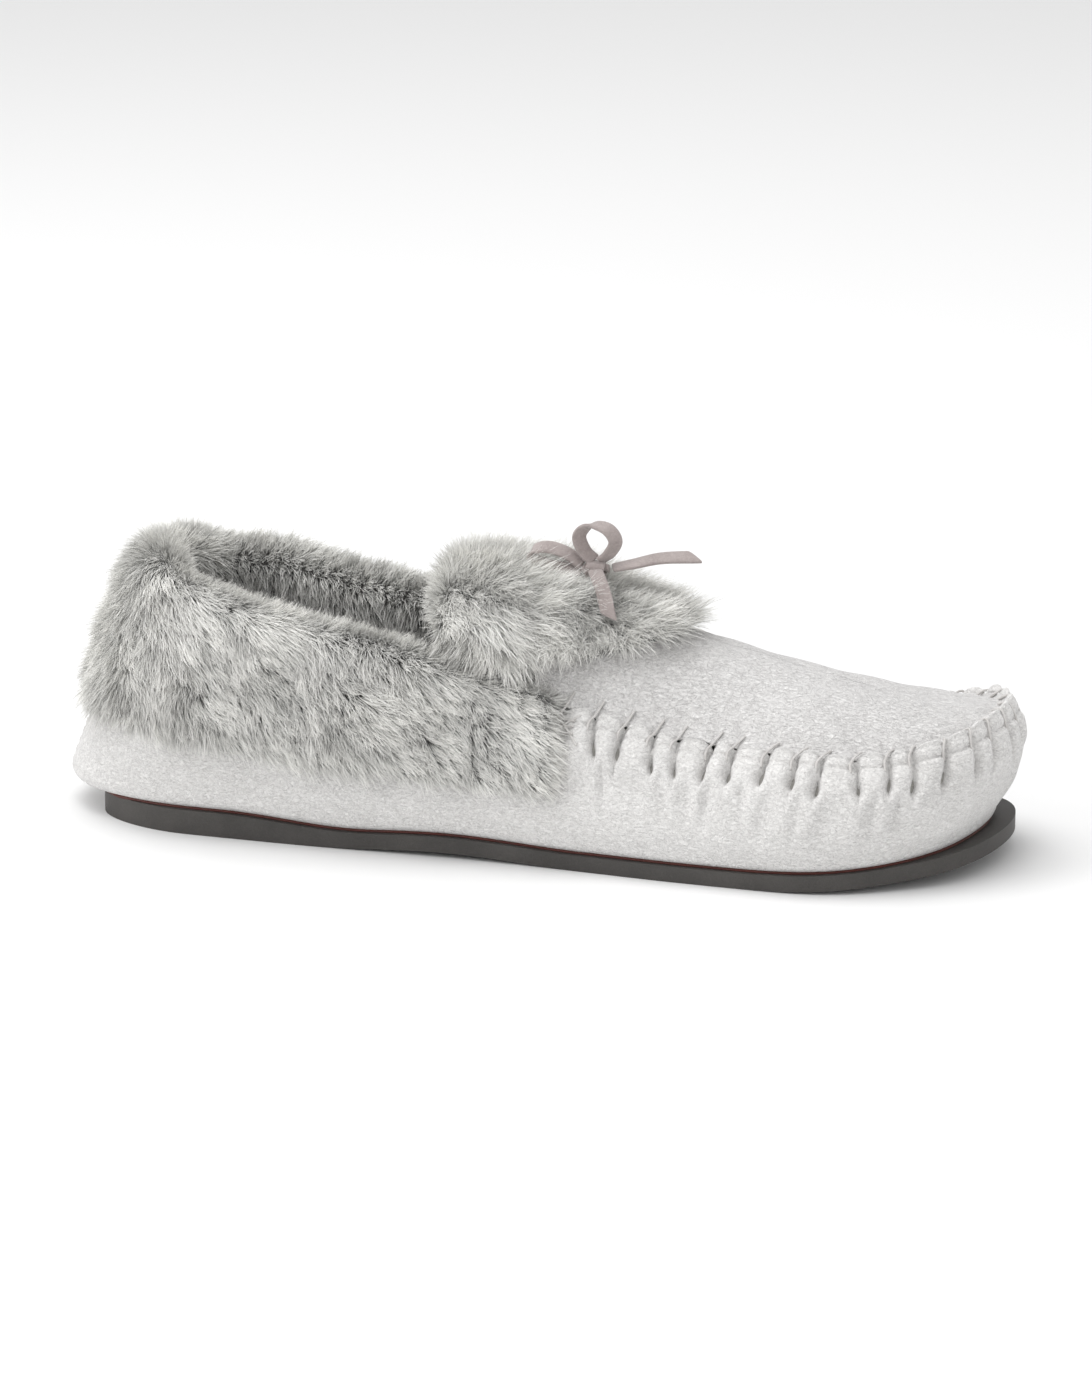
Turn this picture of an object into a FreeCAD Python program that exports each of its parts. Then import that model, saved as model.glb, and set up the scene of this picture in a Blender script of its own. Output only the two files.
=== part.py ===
"""Moccasin house slipper for a right foot: suede upper, pile collar, moulded rubber sole.

Millimetres. +X points to the toe, +Y to the inner side of the foot, +Z up, and the sole stands on Z = 0.
The upper is a wall that runs round the whole foot from a seam at the back of the heel. Its foot is the
feather line, where it meets the sole. Its top edge is the stitched moccasin seam round the toe, and the
topline of the foot opening behind that. Layers are offsets of the wall's outer face, glue_line apart.
"""
import FreeCAD, Part
import math
import os

V = FreeCAD.Vector

# Overall sizes of the upper
feather_length = 253.0      # heel to toe along the feather line
feather_half_width = 42.0   # at the ball of the foot
heel_top = 68.0             # top edge of the suede at the back of the heel
side_top = 50.0             # top edge of the suede beside the instep
inner_rise = 3.5            # the topline is this much higher on the inner side
seam_height = 32.5          # moccasin seam beside the ball
toe_height = 40.0           # moccasin seam at the tip of the toe
instep_height = 62.0        # crown of the vamp at the front of the tongue
heel_lean = 23.0            # how far the heel's top edge leans forward
toe_swell = 6.0             # how far the toe wall swells past the feather line
heel_overhang = 12.6        # how far the upper's heel stands out behind the sole
toe_welt = 4.5              # how far the sole's tip stands out in front of the upper

# Sole
heel_thickness = 6.6
fore_thickness = 4.2
arch_rise = 1.5
toe_spring = 5.2
groove_depth = 1.0
groove_width = 1.6
groove_pitch = 6.0
groove_margin = 7.0         # from the grooves' ends to the sole's edge

# Sheets and the gaps between them
glue_line = 0.2
suede = 1.2
counter = 1.2
tape = 0.6
lining = 2.6
tongue_lining = 1.5
board = 1.5
foam = 4.0
sock = 2.5
filler = 0.9
bottom_radius = 3.0         # bend of the suede into its lasting margin
lasting_margin = 9.0
bed_clear = 3.0             # from the upper's lining to the foam and sock
seam_gap = 0.4              # between two edges that are sewn together
lining_step = 3.5           # the vamp lining stops this far short of the seam

# Pile collar
pile_outside = 6.0
pile_crest = 7.0
pile_inside = 5.0
pile_edge = 2.0             # thickness left at the pile's edges
crest_clear = 1.2           # from the topline to the inside of the collar's bend
collar_low = 0.36           # share of the wall's height where the collar's outer edge lies
collar_inner_low = 0.74     # and its inner edge
collar_front = 0.553        # share of the length where the side collars end

# Tongue
tongue_back = 0.435         # share of the length where the tongue's free edge is
tongue_front = 0.675        # share of the length of the hinge line, on the centre line
fold_drop = 20.0            # the tongue's front edge falls back this far at its sides
tongue_half_width = 26.0    # over the collars
tongue_front_half = 18.0    # between the collars
tongue_clear = 2.0          # over the side collars
tongue_pile = 6.5
tongue_under_pile = 3.0
nose_clear = 1.5            # from the tongue's free edge to the inside of the pile's bend
tongue_hem = 0.28           # share of the tongue's length that the pile covers underneath

# Thread and lace
thread = 0.9
seam_stitches = 30
heel_stitches = 5
lace_width = 4.0
lace_thick = 1.0
lace_gap = 0.4
knot_size = V(6.5, 5.5, 4.0)
upper_loop = (10.5, 10.0)   # length and width of each loop
lower_loop = (13.0, 6.0)
near_tail = 16.0
far_tail = 23.0

ring_steps = 72
sewing = 2e-3
eps = 1e-3


# Curves -------------------------------------------------------------------------------------------
def profile(*points):
    """A smooth function through (share of length, value) points, flat past its ends."""
    xs = [p[0] for p in points]
    ys = [p[1] for p in points]
    last = len(xs) - 1

    def slope(i):
        if i in (0, last):
            return 0.0
        a = (ys[i] - ys[i - 1]) / (xs[i] - xs[i - 1])
        b = (ys[i + 1] - ys[i]) / (xs[i + 1] - xs[i])
        return 0.0 if a * b <= 0 else 2 * a * b / (a + b)

    def value(x):
        if x <= xs[0]:
            return ys[0]
        if x >= xs[-1]:
            return ys[-1]
        i = max(k for k in range(last) if xs[k] <= x)
        w = xs[i + 1] - xs[i]
        u = (x - xs[i]) / w
        a, b = ys[i], ys[i + 1]
        return (a * (1 + 2 * u) * (1 - u) ** 2 + b * u * u * (3 - 2 * u)
                + w * slope(i) * u * (1 - u) ** 2 - w * slope(i + 1) * u * u * (1 - u))

    return value


def share(x):
    return x / feather_length


def ease(x, low, high):
    u = min(max((x - low) / (high - low), 0.0), 1.0)
    return u * u * (3 - 2 * u)


# Feather line, as shares of the length and of the half width, from the heel round the outer side.
feather_points = [
    (0.0, 0.0), (0.032, -0.45), (0.119, -0.715), (0.237, -0.79), (0.395, -0.835), (0.553, -0.88),
    (0.727, -0.985), (0.862, -0.985), (0.96, -0.6), (1.0, 0.07), (0.972, 0.62), (0.87, 0.95),
    (0.735, 1.01), (0.577, 0.86), (0.411, 0.68), (0.245, 0.69), (0.119, 0.665), (0.032, 0.43),
]
stations = len(feather_points)


def feather(t):
    """Point of the feather line at station t, which runs from 0 at the heel to stations."""
    i = math.floor(t)
    u = t - i
    p = [feather_points[(i + k) % stations] for k in (-1, 0, 1, 2)]
    xy = []
    for k, size in ((0, feather_length), (1, feather_half_width)):
        a, b, c, d = (q[k] * size for q in p)
        xy.append(0.5 * (2 * b + (c - a) * u + (2 * a - 5 * b + 4 * c - d) * u * u
                         + (3 * b - 3 * c + d - a) * u ** 3))
    return V(xy[0], xy[1], 0)


def outward(t):
    """Level direction away from the foot at station t."""
    along = feather(t + eps) - feather(t - eps)
    n = V(along.y, -along.x, 0)
    return n / n.Length


# Sole heights -------------------------------------------------------------------------------------
# Shares of the length where the arch, the toe spring and the heel wedge start and end.
arch_start, arch_end = 0.30, 0.60
spring_start, spring_end = 0.735, 1.012
wedge_start, wedge_end = 0.20, 0.375


def tread(x):
    """Height of the sole's underside: flat at the heel and ball, with an arch and a toe spring."""
    f = share(x)
    z = 0.0
    if arch_start < f < arch_end:
        z = arch_rise * math.sin(math.pi * (f - arch_start) / (arch_end - arch_start)) ** 2
    if f > spring_start:
        z = toe_spring * ((f - spring_start) / (spring_end - spring_start)) ** 2
    return z


def sole_top(x):
    wedge = ease(share(x), wedge_start, wedge_end)
    return tread(x) + heel_thickness + (fore_thickness - heel_thickness) * wedge


# The wall of the upper ----------------------------------------------------------------------------
top_height = profile((0, heel_top), (0.12, heel_top - 5), (0.24, side_top + 6),
                     (0.395, side_top), (0.555, seam_height + 9), (0.727, seam_height + 0.5),
                     (0.86, seam_height), (0.96, toe_height - 3), (1.0, toe_height))
top_shrink = profile((0, 0.79), (0.12, 0.80), (0.24, 0.84), (0.40, 0.83), (0.56, 0.725), (0.727, 0.67),
                     (0.86, 0.745), (0.96, 0.85), (1.0, 0.9))
top_shift = profile((0, heel_lean), (0.12, heel_lean * 0.38), (0.24, 4), (0.395, -1),
                    (0.555, -3), (0.727, -2), (0.86, 0), (1.0, toe_swell / 2))
low_swell = profile((0, -8), (0.15, 0), (0.4, 3), (0.7, 5), (1.0, toe_swell))
high_swell = profile((0, 9), (0.12, 6), (0.3, 3), (0.5, 5), (0.7, 9), (0.86, 8), (1.0, 5))
high_drop = profile((0, 18), (0.2, 16), (0.45, 12), (0.6, 4), (0.75, 2.5), (0.9, 4), (1.0, 8))
low_rise = 0.33                     # how steeply the wall starts, as a share of its height
toe_station = 9.0


def top_edge(t):
    b = feather(t)
    f = share(b.x)
    rise = inner_rise * ease(f, 0.1, 0.2) * (1 - ease(f, 0.45, 0.55)) if t > toe_station else 0.0
    return V(b.x + top_shift(f), b.y * top_shrink(f), top_height(f) + rise)


def skin(t, q):
    """Outer face of the wall.

    q runs from -2 to -1 over the lasting margin, to 0 round the bend, and to 1 at the top edge.
    """
    b, n = feather(t), outward(t)
    if q < -1:
        p = b - n * (bottom_radius + lasting_margin * (-1 - q))
        return V(p.x, p.y, sole_top(p.x) + glue_line)
    if q < 0:
        a = (q + 1) * math.pi / 2
        p = b - n * (bottom_radius * (1 - math.sin(a)))
        return V(p.x, p.y, sole_top(p.x) + glue_line + bottom_radius * (1 - math.cos(a)))
    f = share(b.x)
    high = top_edge(t)
    foot = V(b.x, b.y, sole_top(b.x) + glue_line + bottom_radius)
    p1 = foot + n * low_swell(f) + V(0, 0, low_rise * (high.z - foot.z))
    p2 = high + n * high_swell(f) - V(0, 0, high_drop(f))
    u = 1 - q
    return foot * u ** 3 + p1 * (3 * u * u * q) + p2 * (3 * u * q * q) + high * q ** 3


def skin_normal(t, q):
    low, high = max(q - eps, -2), min(q + eps, 1)
    up = skin(t, high) - skin(t, low)
    along = skin(t + eps, q) - skin(t - eps, q)
    n = along.cross(up)
    return n / n.Length


def layer(t, q, depth):
    """Point at this depth under the wall's outer face, or above it where depth is negative."""
    return skin(t, q) - skin_normal(t, q) * depth


def station_at(x, outer_side):
    """The station where the top edge reaches x, on the outer or the inner side of the foot."""
    a, b = (0.0, toe_station) if outer_side else (float(stations), toe_station)
    for _ in range(30):
        m = (a + b) / 2
        a, b = (m, b) if top_edge(m).x < x else (a, m)
    return (a + b) / 2


# Solids -------------------------------------------------------------------------------------------
def spread(low, high, count):
    return [low + (high - low) * i / (count - 1) for i in range(count)]


def chord_steps(points):
    """Share of the way along a row of points at each point."""
    run = [0.0]
    for a, b in zip(points, points[1:]):
        run.append(run[-1] + (b - a).Length)
    return [r / run[-1] for r in run]


def row_curves(grid):
    """One spline for each row, all with the same parameters so that they loft exactly."""
    steps = chord_steps(grid[len(grid) // 2])
    curves = []
    for row in grid:
        curve = Part.BSplineCurve()
        curve.interpolate(Points=row, Parameters=steps)
        curves.append(curve.toShape())
    return curves


def shell_between(outer_grid, inner_grid):
    """The closed solid between two surfaces that have the same grid of points, lofted row by row."""
    outer, inner = row_curves(outer_grid), row_curves(inner_grid)
    sections = []
    for a, b, p, q in zip(outer, inner, outer_grid, inner_grid):
        sections.append(Part.Wire([a, Part.makeLine(p[-1], q[-1]), b, Part.makeLine(q[0], p[0])]))
    ends = [Part.makeRuledSurface(outer[i], inner[i], 1) for i in (0, -1)]
    shell = Part.makeShell(Part.makeLoft(sections, False, False).Faces + ends)
    shell.sewShape(sewing)
    solid = Part.makeSolid(shell)
    if solid.Volume < 0:
        solid.reverse()
    return solid


def wall_piece(ts, qs, near, far):
    """A layer of the wall between two depths, each a number or a function of (t, q)."""
    def at(depth, t, q):
        return depth(t, q) if callable(depth) else depth
    outer = [[layer(t, q, at(near, t, q)) for q in qs] for t in ts]
    inner = [[layer(t, q, at(far, t, q)) for q in qs] for t in ts]
    return shell_between(outer, inner)


def plan_face(points):
    curve = Part.BSplineCurve()
    curve.interpolate(points, PeriodicFlag=True)
    return Part.Face(Part.Wire([curve.toShape()]))


def plan_prism(points, low=-20.0, high=140.0):
    flat = [V(p.x, p.y, low) for p in points]
    return plan_face(flat).extrude(V(0, 0, high - low))


def side_band(low, high, x0, x1, half=80.0, count=40):
    """A solid between two heights that are functions of x, straight across Y."""
    def edge(height):
        c = Part.BSplineCurve()
        c.interpolate([V(x, -half, height(x)) for x in spread(x0, x1, count)])
        return c.toShape()
    a, b = edge(low), edge(high)
    ends = [Part.makeLine(V(x, -half, low(x)), V(x, -half, high(x))) for x in (x0, x1)]
    wire = Part.Wire(Part.__sortEdges__([a, ends[1], b, ends[0]]))
    return Part.Face(wire).extrude(V(0, 2 * half, 0))


def inset_ring(depth, count=72):
    """The feather line moved in by depth."""
    return [feather(t) - outward(t) * depth for t in (stations * i / count for i in range(count))]


def largest(shape):
    return max(shape.Solids, key=lambda s: s.Volume)


pieces = {}


def piece(name, shape):
    """Keep a finished piece under the name of its node."""
    pieces[name] = shape


def polygon_prism(corners, direction):
    return Part.Face(Part.makePolygon(corners + corners[:1])).extrude(direction)


# Sole unit ----------------------------------------------------------------------------------------
sole_edge = 0.4                     # the sole stands out this far beside the foot
heel_share = 0.2                    # share of the length over which the heel overhang fades


def outsole_outline():
    """The sole's edge: inside the upper at the heel and proud of it at the toe."""
    points = []
    for i in range(72):
        t = stations * i / 72
        p, n = feather(t), outward(t)
        f = share(p.x)
        under_heel = (1 - ease(f, 0.0, heel_share)) * max(-n.x, 0) ** 1.5
        move = sole_edge - (heel_overhang + sole_edge) * under_heel
        move += toe_welt * ease(f, 0.9, 1.0) * max(n.x, 0)
        points.append(p + n * move)
    return points


def tread_grooves():
    """Cross grooves in the heel and ball treads, kept inside the sole's edge."""
    field = plan_prism(inset_ring(heel_overhang / 2 + groove_margin), -1.0, 20.0)
    bars = []
    for start, end in ((0.13, arch_start - 0.01), (arch_end + 0.01, spring_start - 0.01)):
        count = int((end - start) * feather_length / groove_pitch)
        for i in range(count):
            x = start * feather_length + groove_pitch * i
            bars.append(Part.makeBox(groove_width, 120, groove_depth + 1, V(x, -60, -1)))
    return Part.makeCompound(bars).common(field)


def make_outsole():
    """One moulded piece: the band between tread and sole top, cut to the outline."""
    x0, x1 = -10.0, feather_length + 25
    a, b, c = (s * feather_length for s in (arch_start, arch_end, spring_start))

    def curve(height, low, high, count):
        c = Part.BSplineCurve()
        c.interpolate([V(x, -80, height(x)) for x in spread(low, high, count)])
        return c.toShape()

    edges = [Part.makeLine(V(x0, -80, 0), V(a, -80, 0)), curve(tread, a, b, 16),
             Part.makeLine(V(b, -80, 0), V(c, -80, 0)), curve(tread, c, x1, 16),
             Part.makeLine(V(x1, -80, tread(x1)), V(x1, -80, sole_top(x1))), curve(sole_top, x0, x1, 60),
             Part.makeLine(V(x0, -80, 0), V(x0, -80, sole_top(x0)))]
    band = Part.Face(Part.Wire(Part.__sortEdges__(edges))).extrude(V(0, 160, 0))
    body = largest(band.common(plan_prism(outsole_outline())))
    return body.cut(tread_grooves())


def insole_layer(below, thick, inset):
    """A flat sheet that follows the sole's top, this far above it."""
    def low(x):
        return sole_top(x) + below

    def high(x):
        return sole_top(x) + below + thick
    band = side_band(low, high, -5.0, feather_length + 5)
    return largest(band.common(plan_prism(inset_ring(inset))))


filler_inset = bottom_radius + lasting_margin + 0.5
board_base = glue_line + suede + glue_line
foam_base = board_base + board + glue_line
sock_base = foam_base + foam + glue_line
bed_inset = suede + counter + lining + 3 * glue_line + bed_clear

piece("outsole", make_outsole())
piece("bottom_filler", insole_layer(glue_line, filler, filler_inset))
piece("insole_board", insole_layer(board_base, board, bed_inset))
piece("insole_foam", insole_layer(foam_base, foam, bed_inset))
piece("sock_lining", insole_layer(sock_base, sock, bed_inset))

# Wall of the upper and what lines it --------------------------------------------------------------
heel_end = 0.01                     # half the gap of the heel seam, in stations
counter_reach = 1.35                # stations that the heel counter covers each side of the heel
counter_top = 0.72
wall_stations = spread(heel_end, stations - heel_end, ring_steps + 1)
collar_outer_end = station_at(collar_front * feather_length, True)
collar_inner_end = station_at(collar_front * feather_length, False)
toe_lining_top = 0.92


def lining_depth(t, q):
    """The lining lies under the suede, and steps inward over the counter and the tape."""
    near_heel = min(t, stations - t)
    over_counter = 1 - ease(near_heel, counter_reach, counter_reach + 1.0)
    cover = tape + (counter - tape) * over_counter
    return suede + glue_line + cover + glue_line


def lining_back(t, q):
    return lining_depth(t, q) + lining


wall_steps = spread(-2, -1, 4)[:-1] + spread(-1, 0, 3)[:-1] + spread(0, 1, 14)
piece("sidewall", wall_piece(wall_stations, wall_steps, 0.0, suede))

counter_halves = [wall_piece(ts, spread(0.02, counter_top, 7), suede + glue_line, suede + glue_line + counter)
                  for ts in (spread(heel_end, counter_reach, 9),
                             spread(stations - counter_reach, stations - heel_end, 9))]
piece("heel_counter", Part.makeCompound(counter_halves))

tape_depth = suede + glue_line
tape_parts = [wall_piece(ts, spread(counter_top + 0.06, 0.97, 4), tape_depth, tape_depth + tape)
              for ts in (spread(heel_end, collar_outer_end, 24),
                         spread(collar_inner_end, stations - heel_end, 24))]
piece("topline_tape", Part.makeCompound(tape_parts))

quarter_parts = [wall_piece(ts, spread(0.06, 0.97, 10), lining_depth, lining_back)
                 for ts in (spread(heel_end, collar_outer_end - 0.02, 28),
                            spread(collar_inner_end + 0.02, stations - heel_end, 28))]
piece("quarter_lining", Part.makeCompound(quarter_parts))
piece("toe_lining", wall_piece(spread(collar_outer_end + 0.02, collar_inner_end - 0.02, 44),
                              spread(0.06, toe_lining_top, 10), lining_depth, lining_back))


# Pile collar, hooked over the topline -------------------------------------------------------------
pressed = 0.65                      # share of its pile that the collar loses under the tongue
press_start, press_end = 0.39, 0.46


def collar_fade(x):
    """Full pile round the opening, pressed down under the tongue and thin at the front ends."""
    return 1 - pressed * ease(share(x), press_start, press_end)


def collar_section(t, pile):
    """Points round the hook, up the outside, over the topline and down the inside."""
    fade = collar_fade(top_edge(t).x)
    stack = lining_back(t, 1)
    points = []
    for q in spread(collar_low, 1, 9):
        full = ease(q, collar_low - 0.1, collar_low + 0.25)
        thick = pile_edge + (pile_outside * max(fade, 0.6) - pile_edge) * full
        points.append(layer(t, q, -glue_line - pile * thick))
    out = skin_normal(t, 1)
    rise = skin(t, 1) - skin(t, 1 - eps)
    rise = rise / rise.Length
    middle = layer(t, 1, stack / 2)
    for a in (45, 90, 135):
        side = pile_outside * max(fade, 0.6) if a < 90 else pile_inside * fade
        reach = math.cos(math.radians(a)) * (stack / 2 + glue_line + pile * side)
        height = math.sin(math.radians(a)) * (crest_clear + pile * pile_crest * fade)
        points.append(middle + out * reach + rise * height)
    for q in spread(1, collar_inner_low, 4):
        thin = 1 - 0.5 * ease(1 - q, 0.1, 1 - collar_inner_low)
        points.append(layer(t, q, stack + glue_line + pile * pile_inside * fade * thin))
    return points


def collar_half(ts):
    return shell_between([collar_section(t, 1) for t in ts], [collar_section(t, 0) for t in ts])


collar_step = 44
piece("collar_outer_side", collar_half(spread(heel_end, collar_outer_end, collar_step)))
piece("collar_inner_side", collar_half(spread(collar_inner_end, stations - heel_end, collar_step)))

# Vamp ---------------------------------------------------------------------------------------------
crown_line = profile((0.41, instep_height + 6), (0.49, instep_height + 5), (0.593, instep_height),
                     (0.711, instep_height - 8), (0.83, instep_height - 15), (0.93, toe_height + 2.5),
                     (1.0, toe_height + 0.5))
arch_power = 2.2
ridge = 1.0                         # the seam's ridge stands this much above the vamp
edge_cache = {}


def seam_edges(x):
    """The top edge's points on the outer and inner side of the foot at x."""
    if x not in edge_cache:
        edge_cache[x] = (top_edge(station_at(x, True)), top_edge(station_at(x, False)))
    return edge_cache[x]


def vamp_height(x, y):
    """Height of the vamp's outer face: an arch between the two seam edges."""
    a, b = seam_edges(min(x, top_edge(toe_station).x - 3.0))
    middle, half = (a.y + b.y) / 2, (b.y - a.y) / 2
    edge = (a.z + b.z) / 2 - ridge
    crown = max(crown_line(share(x)), edge + 0.5)
    side = min(abs((y - middle) / half), 1.3)
    return edge + (crown - edge) * (1 - side ** arch_power)


def fold_x(v):
    """The tongue's front edge in plan; v is 0 on the centre line and 1 at the tongue's side."""
    return tongue_front * feather_length - fold_drop * v * v


def vamp_piece(depth, thick, inset):
    xs = spread(0.5 * feather_length, top_edge(toe_station).x + 4, 26)
    ys = spread(-feather_half_width, feather_half_width, 19)
    outer = [[V(x, y, vamp_height(x, y) - depth) for y in ys] for x in xs]
    inner = [[V(p.x, p.y, p.z - thick) for p in row] for row in outer]
    slab = shell_between(outer, inner)
    rim = []
    for t in spread(4.4, 13.6, 60):
        p, along = top_edge(t), top_edge(t + eps) - top_edge(t - eps)
        n = V(along.y, -along.x, 0)
        rim.append(V(p.x, p.y, 0) - n / n.Length * inset)
    curve = Part.BSplineCurve()
    curve.interpolate(rim)
    inside = Part.Face(Part.Wire([curve.toShape(), Part.makeLine(rim[-1], rim[0])])).extrude(V(0, 0, 140))
    back = (collar_front + 0.006) * feather_length
    vs = spread(-2.5, 2.5, 31)
    rear = [V(max(fold_x(v), back), v * tongue_front_half, 0) for v in vs]
    corners = rear + [V(400, rear[-1].y, 0), V(400, rear[0].y, 0)]
    return largest(slab.common(inside).common(polygon_prism(corners, V(0, 0, 140))))


piece("vamp_plug", vamp_piece(0.0, suede, seam_gap + suede))
piece("vamp_lining", vamp_piece(suede + glue_line, lining, seam_gap + suede + lining_step))

# Tongue -------------------------------------------------------------------------------------------
tongue_stack = suede + glue_line + tongue_lining + glue_line
back_bow = 4.0                      # the free edge bows back this far in its middle
narrow_start, narrow_end = 0.48, 0.58   # shares of the length where the tongue narrows


def tongue_point(u, v, depth):
    """u runs 0 at the free edge to 1 at the hinge line, v runs -1 to 1 across; depth is under the face."""
    back = tongue_back * feather_length + back_bow * v * v
    x = back + (fold_x(v) - seam_gap - back) * u
    narrow = ease(share(x), narrow_start, narrow_end)
    y = v * (tongue_half_width + (tongue_front_half - tongue_half_width) * narrow)
    a, b = seam_edges(x)
    rest = tongue_stack + tongue_under_pile + tongue_clear
    edge = max(a.z, b.z) + pile_crest * collar_fade(x) + rest
    crown = max(crown_line(share(x)), edge + 1.0)
    over_collar = edge + (crown - edge) * (1 - abs(v) ** arch_power)
    z = over_collar + (vamp_height(x, y) - over_collar) * narrow
    return V(x, y, z - depth)


def tongue_sheet(near, thick, start=0.0):
    us, vs = spread(start, 1, 13), spread(-1, 1, 17)
    outer = [[tongue_point(u, v, near) for v in vs] for u in us]
    inner = [[tongue_point(u, v, near + thick) for v in vs] for u in us]
    return shell_between(outer, inner)


def tongue_pile_at(u, v):
    """Thickness of the pile on top of the tongue: full in the middle and thin at the edges."""
    side = ease(1 - abs(v), 0.0, 0.3)
    front = ease(1 - u, 0.0, 0.25)
    return pile_edge + (tongue_pile - pile_edge) * side * front


def tongue_cuff_section(v, pile):
    """Points round the pile: under the hem, round the free edge, and forward over the tongue."""
    under = tongue_stack + pile * tongue_under_pile
    points = [tongue_point(u, v, under) for u in spread(tongue_hem, 0.0, 5)]
    over = glue_line + pile * tongue_pile_at(0.0, v)
    for a in (0.75, 0.5, 0.25):
        depth = under * a - over * (1 - a)
        bulge = (nose_clear + pile * tongue_under_pile) * math.sin(math.pi * a)
        points.append(tongue_point(0.0, v, depth) - V(bulge, 0, 0))
    for u in spread(0.0, 1.0, 12):
        points.append(tongue_point(u, v, -glue_line - pile * tongue_pile_at(u, v)))
    return points


tongue_vs = spread(-1, 1, 17)
tongue_cuff = shell_between([tongue_cuff_section(v, 1) for v in tongue_vs],
                            [tongue_cuff_section(v, 0) for v in tongue_vs])
tongue_panel = tongue_sheet(0.0, suede)
tongue_back_lining = tongue_sheet(suede + glue_line, tongue_lining)

# Lace bow on the tongue ---------------------------------------------------------------------------
knot_place = (0.62, -0.2)           # on the tongue, as tongue_point's u and v
knot_clear = 1.0                    # from the pile to the knot
knot_round = 1.3
seat = tongue_point(*knot_place, -glue_line - tongue_pile)
knot_base = seat + V(0, 0, knot_clear)
knot_middle = knot_base + V(0, 0, knot_size.z / 2)
knot = Part.makeBox(*knot_size, knot_middle - knot_size / 2)
knot = knot.makeFillet(knot_round, knot.Edges)

tack_hole = thread / 2 + 0.1
tack_depth = 6.0 + tongue_pile
hole = Part.makeCylinder(tack_hole, tack_depth + 2, seat - V(0, 0, tack_depth))
tack = Part.makeCylinder(thread / 2, tack_depth - 1.0, knot_base - V(0, 0, tack_depth - 0.9))
piece("tongue_cuff", largest(tongue_cuff.cut(hole)))
piece("tongue_panel", largest(tongue_panel.cut(hole)))
piece("tongue_lining", largest(tongue_back_lining.cut(hole)))
piece("bow_knot", knot)
piece("bow_tack", tack)


def unit(x, y, z):
    v = V(x, y, z)
    return v / v.Length


def loop_piece(start, along, across, size):
    """A flat lace bent into a drop-shaped loop; its faces turn about across."""
    length, width = size
    up = across.cross(along)

    def outline(shrink):
        half = width / 2 - shrink
        far, near = length - shrink, shrink * 1.6
        shape = [(near, 0), (length * 0.45, half * 0.85), (length * 0.75, half), (far, 0),
                 (length * 0.75, -half), (length * 0.45, -half * 0.85)]
        base = start - across * lace_width / 2
        return plan_face([base + along * a + up * b for a, b in shape])
    return outline(0.0).cut(outline(lace_thick)).extrude(across * lace_width)


def tail_piece(start, along, across, length):
    """A flat end of lace, cut off at a slant."""
    up = across.cross(along)
    low = start - up * lace_thick / 2
    half = across * lace_width / 2
    short, long = along * (length - lace_width), along * length
    corners = [low - half, low + half, low + half + short, low - half + long]
    return polygon_prism(corners, up * lace_thick)


to_camera_side = V(0, -1, 0)
reach_x = knot_size.x / 2 + lace_gap
reach_y = knot_size.y / 2 + lace_gap
upper_way = unit(0.12, 0, 1)
lower_way = unit(-1, 0, 0.36)
near_way = unit(0.5, -0.75, -0.32)
far_way = unit(0.95, 0.3, 0.17)
upper_start = knot_middle + V(0, 0, knot_size.z / 2 + lace_gap)
lower_start = knot_middle + V(-reach_x, 0, lower_loop[1] / 2 - knot_size.z / 2 + 0.6)
near_start = knot_middle + V(0, -reach_y - 1.0, 0.8)
far_start = knot_middle + V(reach_x + 0.5, 0.5, 0.5)
near_across = unit(near_way.y, -near_way.x, 0)
far_across = unit(far_way.y, -far_way.x, 0)
piece("bow_loop_upper", loop_piece(upper_start, upper_way, to_camera_side, upper_loop))
piece("bow_loop_lower", loop_piece(lower_start, lower_way, to_camera_side, lower_loop))
piece("bow_tail_near", tail_piece(near_start, near_way, near_across, near_tail))
piece("bow_tail_far", tail_piece(far_start, far_way, far_across, far_tail))


# Thread -------------------------------------------------------------------------------------------
def strand(points, radius):
    """A short round thread through a few points."""
    body = None
    for a, b in zip(points, points[1:]):
        run = b - a
        piece = Part.makeCylinder(radius, run.Length, a, run).fuse(Part.makeSphere(radius, b))
        body = piece if body is None else body.fuse(piece)
    return body.removeSplitter()


def even_stations(start, end, count):
    """Stations evenly spaced along the top edge."""
    fine = spread(start, end, 400)
    run = [0.0]
    for a, b in zip(fine, fine[1:]):
        run.append(run[-1] + (top_edge(b) - top_edge(a)).Length)
    marks = [run[-1] * (i + 0.5) / count for i in range(count)]
    return [fine[max(i for i, r in enumerate(run) if r <= m)] for m in marks]


stitch_clear = 0.15
foot_share = 0.93                   # share of the wall's height where a stitch starts
landing = 3.5                       # from the seam to where it ends on the vamp
over_seam = 0.3                     # more room over the seam's ridge
lift = thread / 2 + stitch_clear
seam_start = station_at((collar_front + 0.02) * feather_length, True)
seam_end = station_at((collar_front + 0.02) * feather_length, False)


def whip_stitch(t, slant=0.06):
    """One overhand stitch: up the wall, over the seam's ridge and down on the vamp."""
    foot = layer(t - slant, foot_share, -lift)
    top = top_edge(t) + skin_normal(t, 1) * lift + V(0, 0, over_seam)
    p, q = top_edge(t + slant), top_edge(t + slant + eps)
    inward = V(-(q - p).y, (q - p).x, 0)
    land = p + inward / inward.Length * landing
    over = V(land.x, land.y, vamp_height(land.x, land.y) + lift + over_seam)
    return strand([foot, top, over], thread / 2)


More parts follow.
